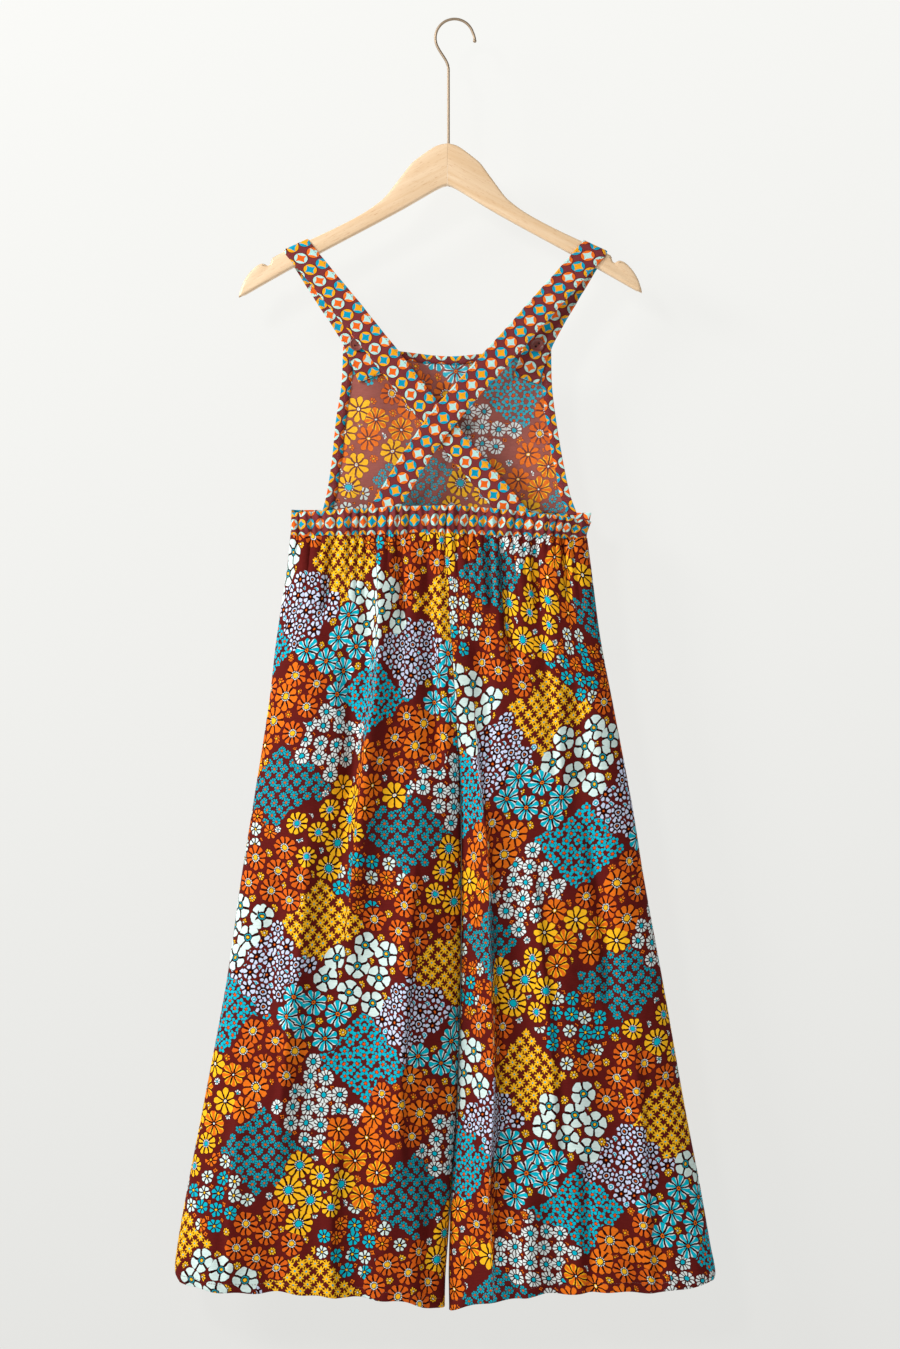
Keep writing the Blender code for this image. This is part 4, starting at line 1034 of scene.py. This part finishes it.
def bib_depth(x, height):
    """How far the bib stands off the middle plane, from the waistband's line to its upper edge."""
    foot = bib_foot(x)
    up = np.clip((height - foot) / (NECKLINE[0][1] - foot), 0.0, 1.0)
    hang = band_depth(x) + (BIB_TOP_DEPTH - band_depth(x)) * smooth(up)
    return hang + BIB_BULGE * np.sin(math.pi * up) ** 2


def bib_waves(x, height):
    """Soft waves of the bib, in and out."""
    top, left, right = read(NECKLINE, x), read(BIB_SIDES, height, 1), read(BIB_SIDES, height, 2)
    slow = 1.5 * np.sin(x / 21.0 + 0.6) * np.sin(height / 55.0) + 0.8 * np.sin(x / 9.0 + height / 37.0)
    inset = np.minimum(np.minimum(x - left, right - x), top - height)
    puckers = 0.7 * np.sin(height / 2.3 + 1.5 * np.sin(height / 11.0))
    puckers *= np.exp(-np.maximum(inset - 9.0, 0.0) / 9.0)
    across = 0.6 * np.sin(x / 2.2 + 1.7 * np.sin(x / 13.0))
    across *= np.exp(-np.maximum(top - height - 8.0, 0.0) / 8.0)
    return slow * smooth((inset - 6.0) / 25.0) + np.where(top - height < 22.0, across, puckers) * 0.8


share, up = np.meshgrid(*(np.linspace(0.0, 1.0, count) for count in BIB_GRID))
x = NECKLINE[0][0] + (NECKLINE[-1][0] - NECKLINE[0][0]) * share
head, foot = read(NECKLINE, x) - NECK_BINDING + BIB_INTO_BINDING, bib_foot(x) - BIB_INTO_BAND
height = foot + (head - foot) * up
left = read(BIB_SIDES, height, 1) + BINDING - BIB_INTO_BINDING
right = read(BIB_SIDES, height, 2) - BINDING + BIB_INTO_BINDING
x = left + (right - left) * share
points = np.stack([x, bib_depth(x, height) + bib_waves(x, height), height], axis=-1)
bib = panel("bib_cloth", points, np.stack([x, height], axis=-1) + BIB_PRINT, (0.0, 1.0, 0.0),
            LEG_CLOTH, [printed, printed_wrong_side])
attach(bib, "root")
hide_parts("bib_front")

# Bindings -----------------------------------------------------------------------------------------
# Strips of the circle-printed cloth, folded over the bib's top and sides with both edges turned in,
# and stitched through. They pucker a little along the stitching.

BINDING_HALF = 1.25
BINDING_PLY = 0.6
BINDING_COLUMNS, BINDING_ROWS = 21, 200
BINDING_PRINT = (7.0, 0.0)
BINDING_STITCHES = 1  # columns in from the strip's turned edge


def pucker(along):
    """How far a binding stands in or out at a place along it."""
    return 0.28 * np.sin(along / 1.9 + 1.6 * np.sin(along / 7.3)) + 0.2 * np.sin(along / 4.6)


def add_binding(name, points, flat):
    """One binding from its grid of places, with its two rows of stitches."""
    made = panel(f"{name}_cloth", points, flat + BINDING_PRINT, OUT_OF_BINDING[name], BINDING_PLY,
                 [circle_cloth])
    lines = []
    for column, way in ((BINDING_STITCHES, -1.0), (-1 - BINDING_STITCHES, 1.0)):
        out = np.broadcast_to((0.0, way, 0.0), points[2:-2, column].shape)
        lines.append((points[2:-2, column] + out * BINDING_PLY / 2, out))
    edge = sewn(f"{name}_stitches", lines)
    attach(made, "root")
    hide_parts(name)


OUT_OF_BINDING = {
    "neck_binding": (0.0, 0.0, 1.0),
    "armhole_binding_left": (-1.0, 0.0, 0.0),
    "armhole_binding_right": (1.0, 0.0, 0.0),
}
# Round a strip that is folded over an edge: share of its width, and which side of the bib it is on.
turn = np.linspace(-math.pi / 2, math.pi / 2, BINDING_COLUMNS)[None, :] * np.ones((BINDING_ROWS, 1))
wide, out = np.abs(np.cos(turn)) ** 0.4, np.sign(np.sin(turn)) * np.abs(np.sin(turn)) ** 0.4
along = np.linspace(0.0, 1.0, BINDING_ROWS)[:, None] * np.ones((1, BINDING_COLUMNS))
x = NECKLINE[0][0] + BINDING / 2 + (NECKLINE[-1][0] - NECKLINE[0][0] - BINDING) * along
height = read(NECKLINE, x) - (NECK_BINDING + 0.6 * np.sin(x / 6.1)) * (1.0 - wide)
depth = bib_depth(x, height) + BINDING_HALF * out + pucker(x)
flat = np.stack([out * NECK_BINDING * (1.0 - wide) + out, x], axis=-1)
add_binding("neck_binding", np.stack([x, depth, height], axis=-1), flat)
for side, side_name in ((-1, "left"), (1, "right")):
    edge = 1 if side < 0 else 2
    head = NECKLINE[0 if side < 0 else -1][1] + 0.4
    foot = bib_foot(BIB_SIDES[-1][edge]) - BIB_INTO_BAND
    height = foot + (head - foot) * along
    x = read(BIB_SIDES, height, edge) - side * (BINDING + 0.5 * np.sin(height / 7.0)) * (1.0 - wide)
    depth = bib_depth(x, height) + BINDING_HALF * out + pucker(height)
    flat = np.stack([out * BINDING * (1.0 - wide) + out, height], axis=-1)
    add_binding(f"armhole_binding_{side_name}", np.stack([x, depth, height], axis=-1), flat)

# Straps -------------------------------------------------------------------------------------------
# Each strap is a strip sewn to a flat tube and pressed. It is sewn into the casing behind, crosses
# the other, goes over the hanger's arm and ends in a tab that buttons to the bib's corner.

STRAP_WIDTH = 29.0
STRAP_THICK = 2.0
STRAP_PLY = 0.7
STRAP_COLUMNS = 41
STATIONS = {"front": 40, "back": 110}
STRAP_STITCH_SHARE, STRAP_STITCH_SHARE_TOLERANCE = 0.84, 0.04
SQUARE_AFTER = 0.4
SEAM_GAP = 0.3
CAD_ARM_ROUND = 3.0
# Where the straps fold over the arms, and their runs below. Columns: across, height, depth.
STRAP_FOLD = {"left": -166.9, "right": 160.6}
FRONT_RUN = {
    "left": ((-135.0, -297.5, 7.35), (-103.8, -347.2, 7.35), (-85.3, -391.2, 8.2)),
    "right": ((126.0, -306.0, 7.35), (100.8, -352.3, 7.35), (85.3, -393.4, 8.2)),
}
BACK_RUN = {
    "left": ((-90.0, -342.5, -7.6), (-10.5, -443.0, -8.0), (62.2, -530.0, -10.0), (79.0, -551.0, -10.2)),
    "right": ((76.0, -345.5, -9.6), (-9.9, -443.0, -11.6), (-67.7, -532.0, -10.4), (-79.5, -551.0, -10.2)),
}
# Which way the circles' rows run across each strap, where they fall, and how far along they start.
STRAP_PRINT = {"left": (1, 26.25, 4.0), "right": (-1, 36.25, 9.0)}


def run_through(points, count):
    """Evenly shared places on a smooth curve through the points."""
    fine = smooth_run(points, 40)
    return [fine[round(n / count * (len(fine) - 1))] for n in range(count + 1)]


def run_stations(start, table, along_edge, count):
    """(middle, half of the cross line) down one run, turning from the fold's line to square across."""
    middles = run_through([start, *(Vector((x, y, z)) for x, z, y in table)], count)
    stations = []
    for n in range(1, len(middles)):
        heading = middles[min(n + 2, count)] - middles[max(n - 2, 0)]
        heading = Vector((heading.x, 0.0, heading.z)).normalized()
        square = Vector((-heading.z, 0.0, heading.x))
        square *= math.copysign(1.0, square.dot(along_edge))
        cross = along_edge.lerp(square, float(smooth(n / count / SQUARE_AFTER))).normalized()
        stations.append((middles[n], cross * (STRAP_WIDTH / 2 / cross.dot(square))))
    return stations


def arm_edge(side, at_x):
    """The place on an arm's upper edge at x, and the edge's direction to the right."""
    outline = [Vector((x, 0.0, z)) for x, z in arm_outline(side)]
    for a, b in zip(outline, outline[1:]):
        if min(a.x, b.x) <= at_x <= max(a.x, b.x):
            return a.lerp(b, (at_x - a.x) / (b.x - a.x)), (b - a).normalized() * math.copysign(1.0, b.x - a.x)
    raise ValueError("the arm doesn't reach that far")


def strap_stations(name):
    """(middle, half of the cross line) from the tab on the bib, over the arm and down to the casing."""
    edge, along_edge = arm_edge(-1 if name == "left" else 1, STRAP_FOLD[name])
    up = Vector((-along_edge.z, 0.0, along_edge.x))
    flat = ARM_THICK / 2 - CAD_ARM_ROUND
    turn = CAD_ARM_ROUND + SEAM_GAP + STRAP_THICK / 2
    over = []
    for middle, first in ((flat, 0), (-flat, 90)):
        for angle in range(first, first + 91, 15):
            y = middle + turn * math.cos(math.radians(angle))
            lift = turn * math.sin(math.radians(angle)) - CAD_ARM_ROUND
            over.append(edge + up * lift + Vector((0.0, y, 0.0)))
    half = along_edge * (STRAP_WIDTH / 2)
    front = run_stations(over[0], FRONT_RUN[name], along_edge, STATIONS["front"])
    back = run_stations(over[-1], BACK_RUN[name], along_edge, STATIONS["back"])
    return [*reversed(front), *((place, half) for place in over), *back]


turn = np.linspace(0.0, 2.0 * math.pi, STRAP_COLUMNS)[None, :]
round_across = np.sign(np.cos(turn)) * np.abs(np.cos(turn)) ** 0.55
round_out = np.sign(np.sin(turn)) * np.abs(np.sin(turn)) ** 0.35
stitched = np.abs(np.abs(round_across[0]) - STRAP_STITCH_SHARE) < STRAP_STITCH_SHARE_TOLERANCE
for name in ("left", "right"):
    stations = strap_stations(name)
    middle = np.array([tuple(place) for place, half in stations])
    half = np.array([tuple(half) for place, half in stations])
    heading = np.gradient(middle, axis=0)
    along = np.concatenate([[0.0], np.cumsum(np.linalg.norm(np.diff(middle, axis=0), axis=1))])
    outwards = np.cross(heading, half)
    outwards /= np.linalg.norm(outwards, axis=1)[:, None]
    thick = STRAP_THICK / 2 * smooth((along + 0.6) / 2.5) * smooth((along[-1] - along + 0.6) / 2.5)
    edge = 1.0 + 0.012 * np.sin(along / 13.0) + 0.008 * np.sin(along / 4.7)
    lift = 0.35 * np.sin(along / 8.5 + 1.0) * smooth(along / 30.0) * smooth((along[-1] - along) / 30.0)
    points = (
        middle[:, None, :]
        + half[:, None, :] * (edge[:, None] * round_across)[..., None]
        + outwards[:, None, :] * (thick[:, None] * round_out + lift[:, None] * round_across**2)[..., None]
    )
    across = np.where(round_out >= 0.0, round_across, 2.0 - round_across) * STRAP_WIDTH / 2
    way, first, start = STRAP_PRINT[name]
    flat = np.stack(np.broadcast_arrays(way * across + first, along[:, None] + start), axis=-1)
    strap = panel(f"strap_cloth_{name}", points, flat, None, STRAP_PLY, [circle_cloth])
    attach(strap, "root")
    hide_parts(f"strap_{name}")
    lines = [(points[5:-5, column], outwards[5:-5] * np.sign(round_out[0, column]))
             for column in np.flatnonzero(stitched)]
    edges = sewn(f"strap_stitches_{name}", lines)

# Buttons ------------------------------------------------------------------------------------------
# Moulded brown plastic buttons with a raised rim and two holes, sewn on with maroon thread.

BUTTON_DIAMETER = 15.0
BUTTON_THICK = 3.0
BUTTON_HOLE, BUTTON_HOLE_GAP = 2.4, 4.6
BUTTON_TURN = 44.0
HOLE_DEPTH, KNOT_CLEAR = 1.6, 0.04  # down to the thread that fills the back of a hole
STRAND, STRANDS_BESIDE, STRAND_LIFT = 0.17, (-0.2, 0.2), 0.2
BUTTON_RINGS = ((1.5, 0.0), (0.7, -0.7), (2.6, -0.15))  # width and rise of each, from the rim in
BUTTON_Y = 7.35 - STRAP_THICK / 2 - 2 * SEAM_GAP - BUTTON_THICK / 2
BUTTON_AT = {"left": (-101.2, -354.3), "right": (97.9, -355.4)}

# Casein-like moulded plastic: dark warm brown, cloudy, half polished.
plastic = mottled("moulded brown plastic", "#672c26", "#8a4840", 260.0, 3.0,
                  Roughness=0.3, Coat_Weight=0.3, Coat_Roughness=0.15)
# The same thread as the seams', where it fills the back of a hole, painted near black: painted shade for the
# shadow down in the hole.
hole_shade_thread = mottled("dense dark sewing thread", "#120504", "#2b100e", TWIST, 1.0,
               Roughness=0.9, Specular_IOR_Level=0.1)

turn = math.radians(BUTTON_TURN)
along_holes = Vector((math.cos(turn), math.sin(turn), 0.0))
beside_holes = Vector((-math.sin(turn), math.cos(turn), 0.0))
HOLES = [along_holes * (way * BUTTON_HOLE_GAP / 2 * MM) for way in (-1, 1)]
for name, (x, z) in BUTTON_AT.items():
    bpy.ops.object.select_all(action="DESELECT")
    bpy.ops.mesh.primitive_cylinder_add(vertices=48, radius=BUTTON_DIAMETER / 2 * MM, depth=BUTTON_THICK * MM)
    button = bpy.context.object
    bpy.ops.object.mode_set(mode="EDIT")
    bpy.ops.mesh.select_all(action="DESELECT")
    bpy.ops.object.mode_set(mode="OBJECT")
    for face in button.data.polygons:
        face.select = face.normal.z > 0.9
    bpy.ops.object.mode_set(mode="EDIT")
    for width, rise in BUTTON_RINGS:
        bpy.ops.mesh.inset(thickness=width * MM, depth=rise * MM)
    bpy.ops.object.mode_set(mode="OBJECT")
    rim = button.modifiers.new("rim", "BEVEL")
    rim.width = 0.5 * MM
    rim.segments = 3
    rim.limit_method = "ANGLE"
    bpy.ops.object.modifier_apply(modifier=rim.name)
    for hole in HOLES:
        bpy.ops.mesh.primitive_cylinder_add(vertices=20, radius=BUTTON_HOLE / 2 * MM, depth=0.02,
                                            location=hole)
        cutter = bpy.context.object
        only(button)
        cut = button.modifiers.new("hole", "BOOLEAN")
        cut.operation = "DIFFERENCE"
        cut.object = cutter
        bpy.ops.object.modifier_apply(modifier=cut.name)
        bpy.data.objects.remove(cutter)
    button.data.materials.append(plastic)
    parts = [button]
    # Thread plugs at the back of the holes, near black as painted shade.
    for hole in HOLES:
        bpy.ops.object.select_all(action="DESELECT")
        bpy.ops.mesh.primitive_cylinder_add(
            vertices=20, radius=(BUTTON_HOLE / 2 - KNOT_CLEAR) * MM, depth=(BUTTON_THICK - HOLE_DEPTH) * MM,
            location=hole - Vector((0.0, 0.0, HOLE_DEPTH / 2 * MM)))
        bpy.ops.object.transform_apply(location=True)
        bpy.context.object.data.materials.append(hole_shade_thread)
        parts.append(bpy.context.object)
    for lay in STRANDS_BESIDE:
        bpy.ops.object.select_all(action="DESELECT")
        bpy.ops.mesh.primitive_torus_add(major_radius=BUTTON_HOLE_GAP / 2 * MM, minor_radius=STRAND * MM,
                                         major_segments=32, minor_segments=8)
        strand = bpy.context.object
        for vert in strand.data.vertices:
            reach, beside = vert.co.x, vert.co.z + lay * MM
            lift = vert.co.y * 0.75 + STRAND_LIFT * MM
            vert.co = along_holes * reach + beside_holes * beside + Vector((0.0, 0.0, lift))
        strand.data.materials.append(thread)
        parts.append(strand)
    bpy.ops.object.select_all(action="DESELECT")
    for part in parts:
        part.select_set(True)
    bpy.context.view_layer.objects.active = button
    bpy.ops.object.join()
    button.name = button.data.name = f"brown_button_{name}"
    face_out()
    button.rotation_euler = (math.pi / 2, 0.0, 0.0)
    button.location = Vector((x, BUTTON_Y, z)) * MM
    bpy.ops.object.transform_apply(location=True, rotation=True, scale=True)
    bpy.ops.object.shade_smooth_by_angle(angle=math.radians(40.0))
    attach(button, "root")
    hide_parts(f"button_{name}")

# Room ---------------------------------------------------------------------------------------------
# A plain pale floor and a pale wall close behind, lit like a studio, with the camera straight on
# to the back of the garment at the middle of its height.

FLOOR = -1560.0
WALL = 62.0

bpy.ops.object.select_all(action="DESELECT")
bpy.ops.mesh.primitive_plane_add(size=24.0, location=(0.0, -2.0, FLOOR * MM))
floor = bpy.context.object
floor.name = floor.data.name = "floor"
bpy.ops.mesh.primitive_plane_add(size=9.0, location=(0.0, WALL * MM, 0.0), rotation=(math.pi / 2, 0.0, 0.0))
wall = bpy.context.object
wall.name = wall.data.name = "wall"
wall.visible_shadow = False
# White paint that glows a little, so shadows on it stay faint: the glow is painted light, and on the wall it
# fades towards the floor as painted shade, while the floor glows evenly.
# It is clear from behind, so other sides can be looked at.
for plane, low, high in ((floor, 0.68, 0.68), (wall, 0.73, 0.88)):
    paint, tree, shader = finish(f"matt white paint with painted glow {plane.name}", Base_Color="#4c4c4b", Roughness=0.9,
                                 Specular_IOR_Level=0.1, Emission_Color="#fbfbf8")
    place = node(tree, "SeparateXYZ", (node(tree, "TexCoord").outputs["Object"],))
    # Painted light: how strongly the paint glows. On the wall it is weaker towards the floor, a painted
    # shade.
    glow = node(tree, "MapRange", {0: place.outputs["Y"], 1: -1.5, 2: 0.1, 3: low, 4: high})
    tree.links.new(glow.outputs[0], shader.inputs["Emission Strength"])
    behind = node(tree, "NewGeometry").outputs["Backfacing"]
    clear = node(tree, "BsdfTransparent")
    either = node(tree, "MixShader", {0: behind, 1: shader, 2: clear})
    tree.links.new(either.outputs[0], tree.nodes["Material Output"].inputs["Surface"])
    plane.data.materials.append(paint)

# The room lights the cloth faintly, and looks pale itself beyond the floor and the wall.
world = bpy.data.worlds.new("soft room light")
world.use_nodes = True
tree = world.node_tree
dim = tree.nodes["Background"]
dim.inputs["Color"].default_value = (1.0, 1.0, 1.0, 1.0)
dim.inputs["Strength"].default_value = 0.11
pale = node(tree, "Background", {"Color": (1.0, 1.0, 0.985, 1.0), "Strength": 0.76})
seen = node(tree, "LightPath").outputs["Is Camera Ray"]
either = node(tree, "MixShader", {0: seen, 1: dim, 2: pale})
tree.links.new(either.outputs[0], tree.nodes["World Output"].inputs["Surface"])
bpy.context.scene.world = world

# Columns: name, place, size, watts.
for name, place, size, watts in (
    ("key light", (-1.35, -2.6, 0.75), 0.5, 41.0),
    ("side light", (-2.5, -1.35, 0.7), 0.8, 88.0),
    ("fill light", (2.4, -3.4, 0.0), 2.4, 10.0),
    ("front light", (0.5, 2.6, 0.6), 2.0, 60.0),
):
    bpy.ops.object.light_add(type="AREA", location=place)
    light = bpy.context.object
    light.name = light.data.name = name
    light.data.size = size
    light.data.energy = watts
    aim = Vector((0.0, 0.0, -0.75)) - Vector(place)
    light.rotation_euler = aim.to_track_quat("-Z", "Y").to_euler()

bpy.ops.object.camera_add(location=(0.00165, -3.2, -0.7184), rotation=(math.pi / 2, 0.0, 0.0))
camera = bpy.context.object
camera.data.sensor_fit = "AUTO"
camera.data.sensor_width = 36.0
camera.data.lens = 18.0 / (0.74195 / 3.2)
bpy.context.scene.camera = camera
bpy.context.scene.view_settings.view_transform = "Standard"
